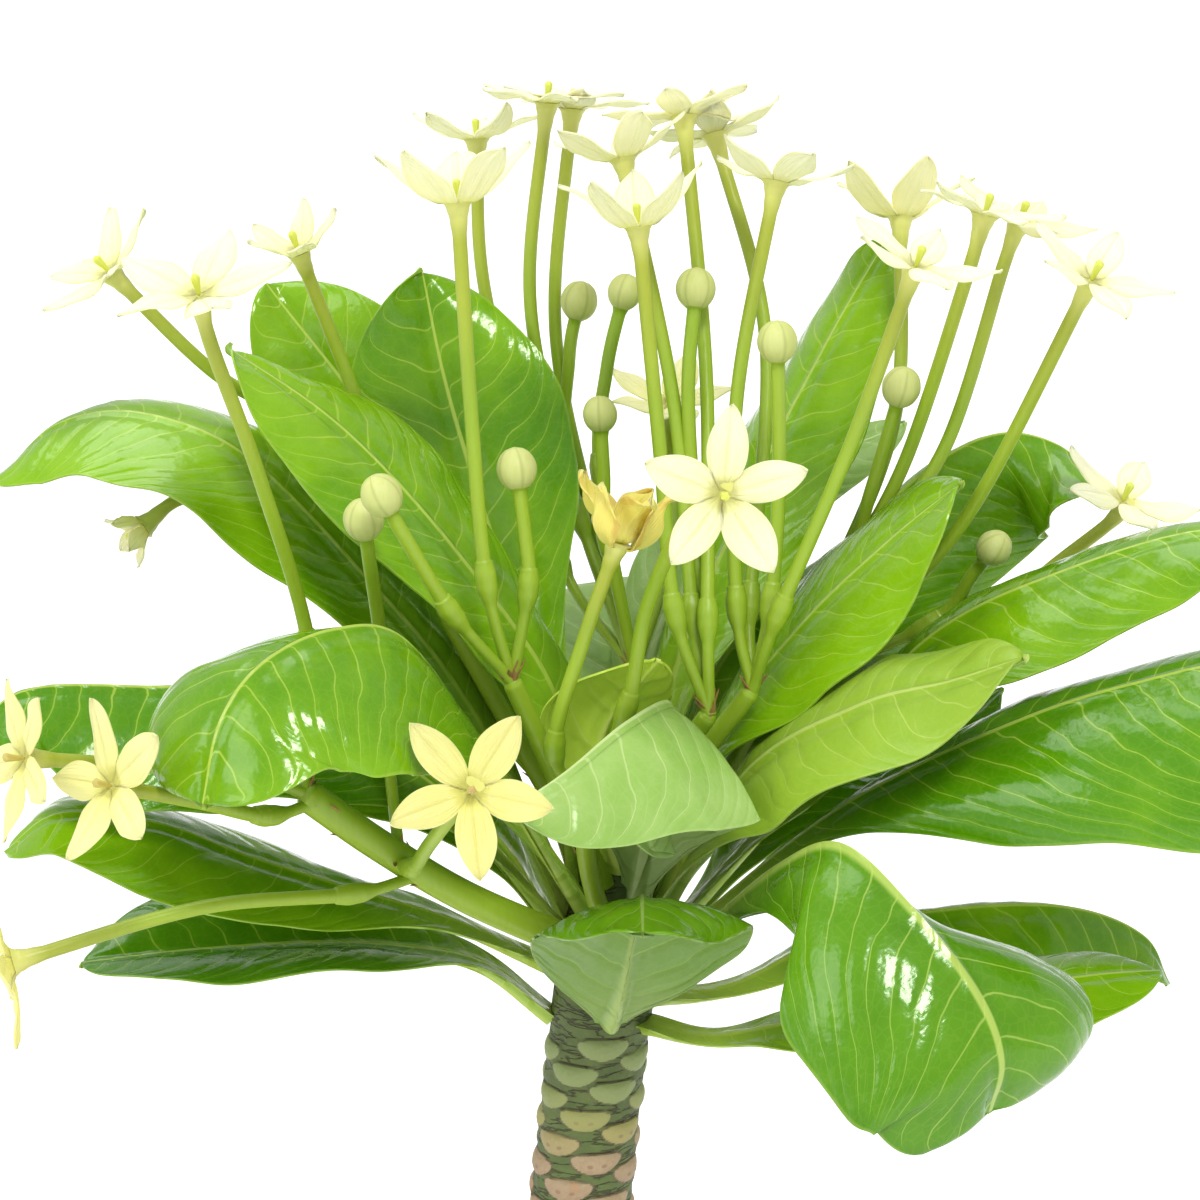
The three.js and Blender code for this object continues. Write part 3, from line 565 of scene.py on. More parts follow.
def blade_relief(leaf, number, draw, place):
    """How far each vertex stands off the smooth blade: waves, puffs between the veins and midrib."""
    u, v, reach, width, rib = (place[key] for key in ("u", "v", "reach", "width", "rib"))
    tall, count, phase = leaf.get("wave", (0, 1, 0))
    relief = tall * v**2 * np.sin(2 * math.pi * (count * u + phase) + v)
    height, length = draw.uniform(*SMALL_WAVE["height"]), draw.uniform(*SMALL_WAVE["length"])
    small = np.sin(place["along"] / length + 3 * np.sign(v) + draw.uniform(0, 6))
    relief += height * small * reach**4
    puff = np.sin(math.pi * place["veins"]) ** 2 * (0.6 + wander(place["points"], 0.06, number + 9))
    relief += BLADE["puff"] * puff * smooth(0.02, 0.3, reach) * smooth(1, 0.8, reach)
    for key, fade in (("blister", smooth(0.05, 0.4, reach)), ("sway", 0.25 + 0.75 * reach)):
        tall, scale = WANDER[key]
        relief += tall * wander(place["points"], scale, number) * fade
    ridge = leaf.get("ridge", 1.0)
    relief += ridge * (1.1 - u) * MIDRIB["ridge"] * np.exp(-((width / (0.6 * ridge * rib)) ** 2))
    relief -= MIDRIB["groove"] * np.exp(-(((np.abs(width) - 1.7 * rib) / (0.9 * rib)) ** 2))
    return relief * place["open"]


# %% One leaf
def leaf_blade(name, leaf, number):
    """One leaf: a grid laid along its midrib, shaped by the leaf's own values, then thickened."""
    draw = random.Random(number)
    seat = seat_point(leaf["turn"], leaf["seat"], BLADE["clear"])
    line = Line([seat, *leaf["path"]])
    piece, x, share = new_grid(name, LEAF_COLUMNS, LEAF_ROWS)
    v = -np.sign(x) * np.abs(x) ** LEAF_SPACING["columns"]
    u = 1 - (1 - share) ** LEAF_SPACING["rows"]
    half = half_width(leaf, u)
    reach = np.abs(v)
    width = v * half
    along = u * line.length

    outward = np.array(leaf["path"][-1]) - np.array(seat)
    level = unit(np.array([-outward[1], outward[0], 0.0]))
    tangent = line.directions(u)
    side = unit(level - tangent * (tangent @ level)[:, None])
    up = np.cross(tangent, side)
    left_ahead, right_ahead = leaf.get("ahead", (0, 0))
    ahead = np.where(v > 0, left_ahead, right_ahead) * reach**2 * u * 2 * half / leaf["width"]
    origin = line.points(u) + tangent * ahead[:, None]

    flat_tip = 1 - u ** BLADE["flat_tip"]
    left, right = (flat_tip * np.radians(through(leaf[name], u)) for name in ("left", "right"))
    raised = np.where(v > 0, left, right)
    open_blade = np.clip(2.5 * u, 0, 1)
    rise = 4 * leaf.get("bulge", BLADE["bulge"]) * open_blade * half * reach * (1 - reach)
    points = origin + side * (width * np.cos(raised) - np.sign(v) * rise * np.sin(raised))[:, None]
    points += up * (reach * half * np.sin(raised) + rise * np.cos(raised))[:, None]

    rib = BLADE["rib"] * (1 - u) + BLADE["rib_tip"] * u
    veins = vein_count(along, width, reach, number)
    place = {"u": u, "v": v, "reach": reach, "width": width, "along": along, "rib": rib,
             "veins": veins, "points": points, "open": open_blade}
    points = points + up * blade_relief(leaf, number, draw, place)[:, None]
    place_vertices(piece, points)
    note(piece, BLADE_ATTRIBUTE, width, along, u)
    note(piece, FACE_ATTRIBUTE, reach, 0, draw.random())
    note(piece, VEIN_ATTRIBUTE, veins, leaf.get("ridge", 1.0), 0)

    keel = (BLADE["keel"] * (1 - u) + BLADE["keel_tip"] * u) * np.clip(1 - (width / rib) ** 2, 0, 1)
    blade = BLADE["thickness"] + (BLADE["margin"] - BLADE["thickness"]) * smooth(0.6, 1, reach)
    thicken(piece, (keel + blade) * MM, FACE_ATTRIBUTE)
    return piece


def thicken(piece, depths, layer):
    """Gives a sheet its own depth at each vertex, and marks the underside in the layer."""
    group = piece.vertex_groups.new(name="depth")
    most = float(depths.max())
    for index, depth in enumerate(depths):
        group.add([index], float(depth) / most, "REPLACE")
    count = len(piece.data.vertices)
    modify(piece, "SOLIDIFY", thickness=most, offset=-1, vertex_group="depth", thickness_vertex_group=0)
    values = np.empty(3 * len(piece.data.vertices), np.float32)
    attribute_data = piece.data.attributes[layer].data
    attribute_data.foreach_get("vector", values)
    values[3 * count + 1 :: 3] = 1
    attribute_data.foreach_set("vector", values)
    piece.vertex_groups.clear()


print("leaf maker ready")

# %% [markdown]
# ## Leaf finish
#
# The blade is a saturated yellow-green with a waxy shine. A pale midrib runs along it and thin pale
# side veins loop towards the margin, which is a fine light line. The underside is greyer and less
# shiny, and its veins stand out. Every line is drawn from the blade's own attribute, in millimetres
# along and across the leaf, so it follows each fold.

# %% Leaf material
def leaf_finish(name, dark, light, vein_tone, back_tone, shine):
    made, at = new_material(name)
    width, along, share = attribute(at, BLADE_ATTRIBUTE)
    reach, under, tone = attribute(at, FACE_ATTRIBUTE)
    count, ridge, _ = attribute(at, VEIN_ATTRIBUTE)
    out = abs(width)
    patches = cloud(at, 70, 2)
    to_vein = (count + 0.5).math("FRACT", count + 0.5) - 0.5
    off_vein = abs(to_vein) * VEIN["pitch"]
    thin = 0.42 - reach * 0.2
    vein = ramp_down(off_vein / thin, 0.3, 1.0) * ramp_down(reach, 0.86, 0.98) * (0.4 + patches)
    to_branch = (count * 2 + reach * 2).math("FRACT", count * 2 + reach * 2) - 0.5
    branch = ramp_down(abs(to_branch) * VEIN["pitch"] / 2, 0.06, 0.24) * (1 - ramp_down(reach, 0.3, 0.55))
    branch = branch * ramp_down(reach, 0.8, 0.95) * (1 - ramp_down(patches, 0.4, 0.6))
    halo = ramp_down(off_vein, 0.2, 3.0)
    net_place = at.node("ShaderNodeCombineXYZ", None, {0: width, 1: along, 2: tone * 40})
    net = ramp_down(net_edges(net_place, 0.35), 0.01, 0.1)
    rib_width = ((1 - share) * 1.5 + 0.35) * ridge
    rib = ramp_down(out, rib_width * (0.5 + under * 0.3), rib_width * (1.1 + under * 0.5))
    margin = 1 - ramp_down(reach, 0.975, 0.992)

    hue = cloud(at, 17, 3) * 0.55 + cloud(at, 90, 2) * 0.25 + tone * 0.3
    green = tint(ramp_down(hue, 0.75, 0.32), light, dark)
    # The foot of each blade turns pale. This is partly its own paler stalk and partly painted light, as if
    # light shone into the middle of the crown.
    green = tint(ramp_down(share, 0.02, 0.42) * 0.8, green, vein_tone)
    back = tint(hue, back_tone, light)
    green = tint(under * 0.7, green, back)
    green = tint(halo * 0.12, green, light)
    green = tint(net * (0.04 + under * 0.05), green, vein_tone)
    green = tint(vein * 0.45 + branch * 0.14, green, vein_tone)
    green = tint(rib * 0.7, green, vein_tone)
    green = tint(margin * 0.2, green, vein_tone)
    grain = cloud(at.node("ShaderNodeCombineXYZ", None, {0: width * 0.25, 1: along * 1.1}), 1.0, 3)
    height = halo * (under * 1.3 - 0.3) + grain * 0.08 + cloud(at, 110, 3) * 1.3 + cloud(at, 420, 2) * 0.2
    surface(at, {
        "Base Color": green,
        "Roughness": shine + under * 0.2 + cloud(at, 60, 2) * 0.14,
        "IOR": 1.47,
        "Specular Tint": (0.92, 1, 0.82, 1),
        "Normal": bump(height, 0.0005, 0.7),
    })
    return made


LEAF_FINISHES = {
    "glossy": leaf_finish("leaf_glossy", (0.065, 0.215, 0.001), (0.2, 0.4, 0.004), (0.46, 0.57, 0.1),
                          (0.18, 0.31, 0.04), 0.1),
    # waxy: a deeper green whose underside is greyer and paler. That underside is partly its own grey-green
    # and partly a painted sheen.
    "waxy": leaf_finish("leaf_waxy_painted_sheen", (0.05, 0.17, 0.001), (0.13, 0.3, 0.004), (0.34, 0.45, 0.12),
                        (0.27, 0.34, 0.19), 0.08),
    "young": leaf_finish("leaf_young", (0.15, 0.31, 0.008), (0.26, 0.41, 0.03), (0.47, 0.57, 0.15),
                         (0.27, 0.41, 0.1), 0.26),
    # bright: a lighter copy of the young finish. It has the young leaf's own yellow-green, and on top of it
    # painted light, as if light shone through the shaded leaf.
    "bright": leaf_finish("leaf_bright_painted_light", (0.5, 0.72, 0.03), (0.62, 0.8, 0.08), (0.72, 0.8, 0.2),
                          (0.5, 0.7, 0.08), 0.3),
    # soft: a whitened green. This is partly the leaf's own paler tone and partly a painted sheen.
    "soft": leaf_finish("leaf_soft_painted_sheen", (0.2, 0.38, 0.05), (0.36, 0.52, 0.16), (0.56, 0.66, 0.3),
                        (0.25, 0.38, 0.08), 0.16),
    # deep: a darker copy of the glossy finish. This is partly the leaf's own deeper green and partly painted
    # shade.
    "deep": leaf_finish("leaf_deep_painted_shade", (0.03, 0.135, 0.001), (0.09, 0.25, 0.002), (0.44, 0.56, 0.12),
                        (0.15, 0.28, 0.03), 0.1),
    "pale": leaf_finish("leaf_pale", (0.18, 0.33, 0.04), (0.33, 0.47, 0.14), (0.45, 0.56, 0.25),
                        (0.32, 0.43, 0.18), 0.36),
}
print("leaf finishes:", ", ".join(LEAF_FINISHES))

# %% [markdown]
# ## The crown of leaves
#
# Each leaf has a turn round the trunk, a seat height, a width and a midrib path, as in the CAD model.
# left and right are the degrees that each half is raised, at places spaced evenly from foot to tip, as
# seen looking outward along the leaf. ahead moves the outer parts of each half towards the tip, wave
# is the height, number and start of its waves, widest, foot and tip shape its outline, and kind is
# its finish. The paths are in millimetres.

# %% Leaf list
LEAVES = {
    "left_upper": {"turn": 162, "seat": 329, "width": 64, "left": (-10, -18, -42), "right": (20, 4, -8),
        "path": [(-25, 6, 390), (-58, 18, 428), (-89, 28, 457), (-118, 36, 467), (-142, 40, 463),
        (-158, 40, 449)], "ahead": (8, 0), "tip": 0.28},
    "left_rising": {"turn": 185, "seat": 339, "width": 58, "left": (0, -22, -20), "right": (30, 14, 10),
        "path": [(0, -8, 394), (-28, -4, 436), (-58, 3, 468), (-89, 10, 489)], "wave": (1.5, 2, 0)},
    "left_behind": {"turn": 136, "seat": 334, "width": 64, "left": (0, -35, -35), "right": (30, 70, 70),
        "path": [(-12, 37, 392), (-44, 66, 444), (-86, 80, 498)]},
    "back_left": {"turn": 112, "seat": 342, "width": 66, "left": (10, -32, -24), "right": (30, 58, 46),
        "path": [(-1, 20, 383), (-15, 37, 418), (-30, 50, 464), (-39, 58, 504)], "wave": (1.5, 1, 0),
        "widest": 0.72, "foot": 1.8},
    "back_right": {"turn": 42, "seat": 340, "width": 62, "left": (20, -15, -15), "right": (10, -5, -8),
        "path": [(33, 20, 394), (55, 37, 444), (75, 48, 482), (93, 55, 513)], "wave": (1.5, 2, 0)},
    "back_centre": {"turn": 84, "seat": 324, "width": 60, "left": (10, 0, -5), "right": (10, 0, -8),
        "path": [(17, 34, 362), (22, 66, 388), (28, 104, 402), (34, 142, 394)], "kind": "pale",
        "wave": (2, 2, 0)},
    "back_left_low": {"turn": 128, "seat": 314, "width": 62, "left": (10, 0, -8), "right": (10, -5, -12),
        "path": [(-16, 34, 346), (-46, 66, 366), (-74, 96, 370), (-96, 120, 356)], "kind": "pale",
        "wave": (2, 2, 0)},
    "back_right_low": {"turn": 52, "seat": 312, "width": 62, "left": (10, 0, -8), "right": (10, -5, -12),
        "path": [(40, 36, 342), (66, 68, 360), (92, 102, 366), (112, 128, 354)], "kind": "pale",
        "wave": (2, 2, 0.3)},
    "right_behind": {"turn": 42, "seat": 328, "width": 76, "left": (10, -30, -35), "right": (0, -68, -62),
        "path": [(45, 30, 393), (84, 46, 428), (108, 52, 449), (127, 53, 458), (144, 51, 455),
        (155, 47, 445)], "ahead": (0, 12), "tip": 0.3, "bulge": 0.12},
    "right_pale": {"turn": 65, "seat": 336, "width": 46, "left": (10, 0, 0), "right": (0, -10, -10),
        "path": [(28, 50, 396), (58, 88, 432), (104, 104, 452)], "kind": "pale"},
    "right_rising": {"turn": 348, "seat": 337, "width": 60, "left": (10, 13, 15), "right": (0, -30, -30),
        "path": [(44, 0, 382), (66, -4, 413), (90, -12, 440), (108, -18, 457)], "tip": 0.38},
    "far_right": {"turn": 357, "seat": 323, "width": 60, "left": (10, -5, -5), "right": (0, -32, -32),
        "path": [(72, -8, 377), (101, -12, 413), (133, -18, 432), (171, -22, 445), (197, -24, 444)]},
    "young_right": {"turn": 314, "seat": 328, "width": 54, "left": (10, 22, 24), "right": (0, -42, -35),
        "path": [(52, -24, 379), (80, -46, 403), (103, -58, 413), (120, -66, 421)], "kind": "young",
        "wave": (1.5, 2, 0.2), "widest": 0.55},
    "right_shaded": {"turn": 12, "seat": 315, "width": 50, "left": (10, 10, 10), "right": (0, -15, -15),
        "path": [(66, 16, 362), (96, 26, 373), (113, 32, 378), (127, 36, 386)]},
    "right_broad": {"turn": 333, "seat": 319, "width": 100, "left": (10, -15, -25),
        "right": (-10, -44, -64), "path": [(66, -26, 361), (92, -36, 381), (123, -44, 399), (151, -50, 410),
        (178, -56, 417), (202, -62, 409)], "wave": (2, 3, 0.4), "ahead": (0, 12), "widest": 0.76,
        "tip": 0.35, "bulge": 0.18},
    "right_curled": {"turn": 310, "seat": 312, "width": 92, "left": (0, -40, -78, -35, -5),
        "right": (0, -40, -52, -44, -25), "path": [(44, -31, 340), (60, -52, 361), (74, -73, 373),
        (90, -92, 363), (106, -104, 344), (112, -108, 328), (110, -104, 313)], "ahead": (0, 16),
        "kind": "deep", "ridge": 2.2, "widest": 0.72, "foot": 1.8, "tip": 0.22, "bulge": 0.12},
    "right_low_back": {"turn": 358, "seat": 307, "width": 60, "left": (10, -20, -20),
        "right": (0, -48, -50), "path": [(50, 2, 309), (81, 4, 325), (108, 8, 329), (144, 14, 328),
        (168, 18, 318), (176, 16, 304)]},
    "right_low": {"turn": 332, "seat": 301, "width": 48, "left": (10, 5, 5), "right": (0, -25, -25),
        "path": [(45, -20, 302), (80, -36, 315), (119, -46, 325), (143, -48, 329), (162, -46, 330)]},
    "front_cupped": {"turn": 280, "seat": 303, "width": 62, "left": (0, -15, -25), "right": (0, -15, -25),
        "path": [(18, -24, 318), (21, -36, 338), (23, -48, 351), (23, -60, 354), (23, -76, 351)],
        "kind": "waxy", "widest": 0.62, "foot": 0.6, "tip": 0.4},
    "front_pale": {"turn": 297, "seat": 337, "width": 80, "left": (0, -42, -30), "right": (0, -94, -70),
        "path": [(29, -20, 378), (31, -36, 401), (19, -58, 402), (3, -74, 393), (-12, -83, 385)],
        "kind": "soft", "widest": 0.54},
    "young_centre": {"turn": 268, "seat": 346, "width": 36, "left": (10, 0, 0), "right": (10, 10, 10),
        "path": [(11, -12, 368), (13, -16, 390), (27, -26, 411)], "kind": "bright"},
    "left_front": {"turn": 222, "seat": 335, "width": 90, "left": (0, -42, -34), "right": (0, -34, 0),
        "path": [(-20, -34, 390), (-39, -54, 423), (-56, -72, 430), (-72, -88, 425), (-82, -96, 412),
        (-86, -102, 393)], "tip": 0.36, "bulge": 0.1},
    "far_left": {"turn": 200, "seat": 327, "width": 74, "left": (0, -45, -50), "right": (0, -20, -20),
        "path": [(-33, -10, 370), (-74, -12, 396), (-113, -18, 401), (-143, -26, 402), (-159, -32, 388)]},
    "left_low": {"turn": 197, "seat": 316, "width": 60, "left": (0, -22, -22), "right": (10, -5, -5),
        "path": [(-28, -8, 331), (-58, -12, 342), (-84, -16, 352), (-108, -20, 363), (-135, -24, 367),
        (-150, -26, 357)]},
    "left_lowest": {"turn": 182, "seat": 301, "width": 54, "left": (0, 0, 0), "right": (10, 24, 24),
        "path": [(-21, 0, 316), (-44, -4, 322), (-71, -10, 325), (-101, -16, 325), (-131, -20, 323)]},
    "left_shaded": {"turn": 160, "seat": 318, "width": 54, "left": (0, -20, -20), "right": (10, 0, 0),
        "path": [(-13, 6, 346), (-36, 16, 366), (-60, 24, 379), (-82, 30, 384)]},
}


widths = [leaf["width"] for leaf in LEAVES.values()]
print(len(LEAVES), "leaves are listed,", min(widths), "to", max(widths), "mm wide")

# %% Make the leaves
for number, (name, leaf) in enumerate(LEAVES.items()):
    piece = leaf_blade("blade_" + name, leaf, number)
    dress(piece, LEAF_FINISHES[leaf.get("kind", "glossy")], "leaf", "leaf_" + name)
print(len(LEAVES), "leaves,", len(piece.data.polygons), "faces each")

# %% [markdown]
# ## Flower stalks
#
# A stem leaves the crown and branches into a stalk for each flower. Each stalk is jointed: a slim
# part, a swollen calyx with a rim, then the long corolla tube, which opens into a mouth or ends in a
# round bud. All of them are round tubes whose radius changes along the way. A curve with a bevel
# would make them too, but a grid rolled round the line also carries the seams of the buds and tints.

# %% Tubes
STALK = {"radius": 1.9, "foot": 1.6, "mouth": 3.9, "short": 1.0, "calyx": 2.95, "bud": 5.4,
         "bud_top": 5.8}
TUBE = {"sides": 18, "step": 1.9, "knot": 1.2, "bud_rows": 19, "angular": 0.02, "groove": 0.05}
STALK_ATTRIBUTE = "stalk"
ROUND_ATTRIBUTE = "round"


def tube_rows(line, distances, bud):
    """Where the rows of a tube lie along it: evenly, and closer at its stations and on a bud."""
    total = distances[-1]
    even = np.linspace(0, total, max(12, int(total / TUBE["step"])))
    knots = np.concatenate([d + np.linspace(-TUBE["knot"], TUBE["knot"], 5) for d in distances[1:-1]])
    ball = line.length + bud * np.linspace(-STALK["bud"], STALK["bud_top"], TUBE["bud_rows"] if bud else 1)
    marks = np.concatenate([even, knots, ball])
    marks = np.unique(np.round(marks[(marks > 0.3) & (marks < total - 0.1)], 1))
    return np.concatenate([[0, 0], marks, [total, total]])


def tube(name, line, stations, bud=0.0, opens=0.0):
    """A closed tube. stations: distance from its start and radius there, in millimetres. bud: the
    size of a round bud at its end. opens: 1 where its end is the mouth of a flower."""
    distances = np.array([s[0] for s in stations])
    radii = np.array([s[1] for s in stations])
    reach = tube_rows(line, distances, bud)
    piece, x, share = new_grid(name, TUBE["sides"], len(reach) - 1)
    row = np.round(share * (len(reach) - 1)).astype(int)
    at_share = np.clip(reach / line.length, 0, 1)
    beyond = np.maximum(0, reach - line.length)[:, None]
    centres = line.points(at_share) + line.directions(np.ones(1)) * beyond
    tangents = line.directions(at_share)
    firsts = carried_sides(tangents)
    seconds = np.cross(tangents, firsts)
    radius = soft_interp(reach, distances, radii)
    is_bud = np.zeros_like(reach)
    if bud:
        above = (reach - line.length) / bud
        ball = STALK["bud"] * bud * np.sqrt(np.maximum(0, 1 - (above / STALK["bud_top"]) ** 2))
        radius = (radius**3 + ball**3) ** (1 / 3)
        is_bud = smooth(-STALK["bud"] - 0.6, -STALK["bud"] + 1.2, above)
    radius[0] = radius[-1] = 0
    angle = math.pi * x
    groove = 1 - TUBE["groove"] * is_bud[row] * np.abs(np.cos(2.5 * angle)) ** 10
    out = radius[row] * groove * (1 + TUBE["angular"] * np.cos(5 * angle))
    points = centres[row] + firsts[row] * (out * np.cos(angle))[:, None]
    points += seconds[row] * (out * np.sin(angle))[:, None]
    place_vertices(piece, points)
    note(piece, STALK_ATTRIBUTE, reach[row] / distances[-1], is_bud[row], opens)
    note(piece, ROUND_ATTRIBUTE, np.cos(angle), np.sin(angle), 0)
    return piece


def soft_interp(at, places, values):
    """Runs through the values with a smooth step between each two."""
    index = np.clip(np.searchsorted(places, at, side="right") - 1, 0, len(places) - 2)
    share = smooth(0, 1, (at - places[index]) / (places[index + 1] - places[index]))
    return values[index] + (values[index + 1] - values[index]) * share


def carried_sides(tangents):
    """A side direction for each row that turns no more than the line does."""
    side = np.array([0.3, 0.5, 0.8])
    sides = []
    for tangent in tangents:
        side = unit(side - tangent * (tangent @ side))
        sides.append(side)
    return np.array(sides)


print("tube maker ready:", TUBE["sides"], "sides")

# %% Bracts
def bract(name, place, way, out, length):
    """A small dry scale under a branch: a cone, flattened and leaning off the stem."""
    bpy.ops.mesh.primitive_cone_add(vertices=8, radius1=1.5 * MM, radius2=0.15 * MM, depth=length * MM)
    piece = bpy.context.object
    piece.name = name
    bpy.ops.object.mode_set(mode="EDIT")
    bpy.ops.mesh.select_all(action="SELECT")
    bpy.ops.transform.resize(value=(0.45, 1, 1), center_override=(0, 0, 0))
    bpy.ops.object.mode_set(mode="OBJECT")
    lean = Vector(unit(np.array(way) + 0.6 * np.array(out)))
    piece.data.transform(lean.to_track_quat("Z", "X").to_matrix().to_4x4())
    piece.data.transform(Matrix.Translation(Vector(place) * MM))
    note(piece, STALK_ATTRIBUTE, 0, 2, 0)
    note(piece, ROUND_ATTRIBUTE, 1, 0, 0)
    return piece


# %% [markdown]
# ## Stalk finish
#
# The stalks are a soft yellow-green. A tube turns olive towards its mouth and pale yellow at it. Buds
# are pale cream-green with a darker line in each groove, and the small scales at the joints are dry
# and brown.

# %% Stalk material
stalk_green, at = new_material("stalk_green")
share, kind, opens = attribute(at, STALK_ATTRIBUTE)
cosine, sine, _ = attribute(at, ROUND_ATTRIBUTE)
angle = sine.math("ARCTAN2", sine, cosine)
is_bud = ramp_down(abs(kind - 1), 0.3, 0.7)
is_dry = 1 - ramp_down(kind, 1.3, 1.7)
streak = cloud(at.node("ShaderNodeMapping", None, {"Vector": at, "Scale": (1, 1, 0.2)}), 700, 2)
hue = cloud(at, 35, 2)
green = tint(hue, (0.17, 0.32, 0.006), (0.32, 0.45, 0.018))
green = tint((1 - ramp_down(share, 0.55, 0.95)) * opens * 0.6, green, (0.37, 0.34, 0.03))
mouth = (1 - ramp_down(share, 0.91, 1.0)) * opens
green = tint(mouth * 0.85, green, (0.74, 0.71, 0.22))
green = tint(streak * 0.3, green, (0.42, 0.52, 0.07))
seam = abs(angle.math("COSINE", angle * 2.5)) ** 40
bud_colour = tint(streak, (0.47, 0.52, 0.13), (0.58, 0.6, 0.25))
bud_colour = tint(seam * 0.35, bud_colour, (0.22, 0.27, 0.04))
colour = tint(is_bud, green, bud_colour)
colour = tint(is_dry, colour, tint(streak, (0.2, 0.09, 0.025), (0.42, 0.25, 0.08)))
surface(at, {
    "Base Color": colour,
    "Roughness": 0.42 + is_bud * 0.13 + is_dry * 0.3,
    "Normal": bump(streak, 0.0003, 0.5),
})
print("stalk finish ready")

# %% [markdown]
# ## Flowers
#
# A flower is a star of five pointed petals. Their feet join over the mouth of the tube, and a green
# stigma stands on its style in the middle. A petal is widest at its middle and bends back towards
# its tip. One petal maker serves all of them, and small seeded differences keep every flower its
# own. The lowest flowers are yellow and older, and the top ones are fresh and nearly white.

# %% One petal
STAR = {"start": 0.9, "depth": 0.8, "reach": 22, "half_width": 5.4, "web": 0.76, "thickness": 0.45,
        "funnel": 45, "lift": 12, "recurve": 0.3}
PETAL_COLUMNS = 12
PETAL_ROWS = 26
PETAL_SPACING = 1.25
PETAL_ATTRIBUTE = "petal"


def petal_spine(length, lift, crumple, draw):
    """Row by row along the middle of a petal: its share, its bend, and how far out and up it is."""
    u = np.linspace(0, 1, PETAL_ROWS + 1) ** PETAL_SPACING
    bend = math.radians(lift + draw.uniform(-4, 4)) * (1 - draw.uniform(0.5, 1.6) * STAR["recurve"] * u)
    bend += math.radians(draw.uniform(-26, 14)) * u**3
    bend *= smooth(0.08, 0.2, u)
    bend += math.radians(max(0, STAR["funnel"] - lift)) * np.exp(-(((u - 0.15) / 0.06) ** 2))
    bend += math.radians(crumple * 35) * np.sin(5 * u + draw.uniform(0, 6))
    steps = np.diff(u, prepend=0) * (length - STAR["start"]) * 1.03
    out = STAR["start"] + np.cumsum(np.cos(bend) * steps)
    high = np.cumsum(np.sin(bend) * steps) - STAR["depth"]
    return u, bend, out, high


def petal(name, length, lift, turn, age, draw, crumple=0.0):
    """One petal that leaves the middle of the flower along its turn, in the flower's own axes."""
    piece, x, share = new_grid(name, PETAL_COLUMNS, PETAL_ROWS)
    v = -x
    rows = np.round(share * PETAL_ROWS).astype(int)
    u, bend, out, high = petal_spine(length, lift, crumple, draw)
    outline = STAR["half_width"] * length / STAR["reach"] * np.sin(math.pi * u**0.98).clip(0) ** 0.7
    web = STAR["web"] * out * smooth(7.2, 4.2, out)
    half = np.maximum(0.12, np.maximum(outline * draw.uniform(0.86, 1.08), web))[rows]
    u, bend, out, high = u[rows], bend[rows], out[rows], high[rows]

    twist = math.radians(draw.uniform(-20, 20)) * u**1.5
    cup = draw.uniform(-0.38, 0.1) + crumple * 0.6
    fold = (cup * np.abs(v) ** 1.5 - 0.16 * np.exp(-((v / 0.14) ** 2))) * half * smooth(0.05, 0.3, u)
    wave = 0.6 * np.sin(8 * u + draw.uniform(0, 6) + 1.5 * v) * v**2 * smooth(0.1, 0.5, u)
    across = v * half
    rise = fold + wave + crumple * 1.2 * np.sin(9 * u + 4 * v) * u
    x_out = out - rise * np.sin(bend)
    y_side = across * np.cos(twist) - rise * np.sin(twist)
    z_up = high + across * np.sin(twist) + rise * np.cos(bend)
    turned = math.radians(turn)
    points = np.stack([
        x_out * math.cos(turned) - y_side * math.sin(turned),
        x_out * math.sin(turned) + y_side * math.cos(turned),
        z_up,
    ], -1)
    place_vertices(piece, points)
    note(piece, PETAL_ATTRIBUTE, v, u, age)
    note(piece, FACE_ATTRIBUTE, np.abs(v), 0, draw.random())
    thicken(piece, np.full(len(v), STAR["thickness"] * MM), FACE_ATTRIBUTE)
    return piece


print("a petal reaches", STAR["reach"], "mm from the middle of its flower")

# %% Stigma
STYLE = {"radius": 0.6, "height": 5.0, "head": 1.1}


def stigma(name, age):
    """A green style with a round, five-lobed head: a sphere whose lower half is drawn out."""
    bpy.ops.mesh.primitive_uv_sphere_add(segments=20, ring_count=11, radius=STYLE["head"] * MM)
    piece = bpy.context.object
    piece.name = name
    for vertex in piece.data.vertices:
        around = math.atan2(vertex.co.y, vertex.co.x)
        low = vertex.co.z < -0.2 * STYLE["head"] * MM
        width = STYLE["radius"] / STYLE["head"] if low else 1 + 0.16 * math.cos(5 * around)
        vertex.co.x *= width
        vertex.co.y *= width
        vertex.co.z += 0 if low else (STYLE["height"] - STYLE["head"]) * MM
    note(piece, PETAL_ATTRIBUTE, 0, -1, age)
    note(piece, FACE_ATTRIBUTE, 0, 0, 0)
    return piece


# %% One flower
def star(name, end, facing, shoot, number):
    """All pieces of one flower, moved to the mouth of its tube and turned to face along it."""
    draw = random.Random(1000 + number)
    lift = shoot.get("lift", STAR["lift"])
    crumple = 1.0 if shoot["age"] > 0.95 else 0.0
    parts = []
    for index in range(5):
        turn = shoot.get("spin", 0) + 72 * index + draw.uniform(-3, 3)
        length = STAR["reach"] * shoot.get("size", 1) * draw.uniform(0.94, 1.02)
        parts.append(petal(f"{name}_{index}", length, lift, turn, shoot["age"], draw, crumple))
    parts.append(stigma(name + "_stigma", shoot["age"]))
    upright = Vector((0, 0, 1)).rotation_difference(Vector(facing)).to_matrix().to_4x4()
    for part in parts:
        part.data.transform(Matrix.Translation(Vector(end) * MM) @ upright)
    return parts


print("flower maker ready")
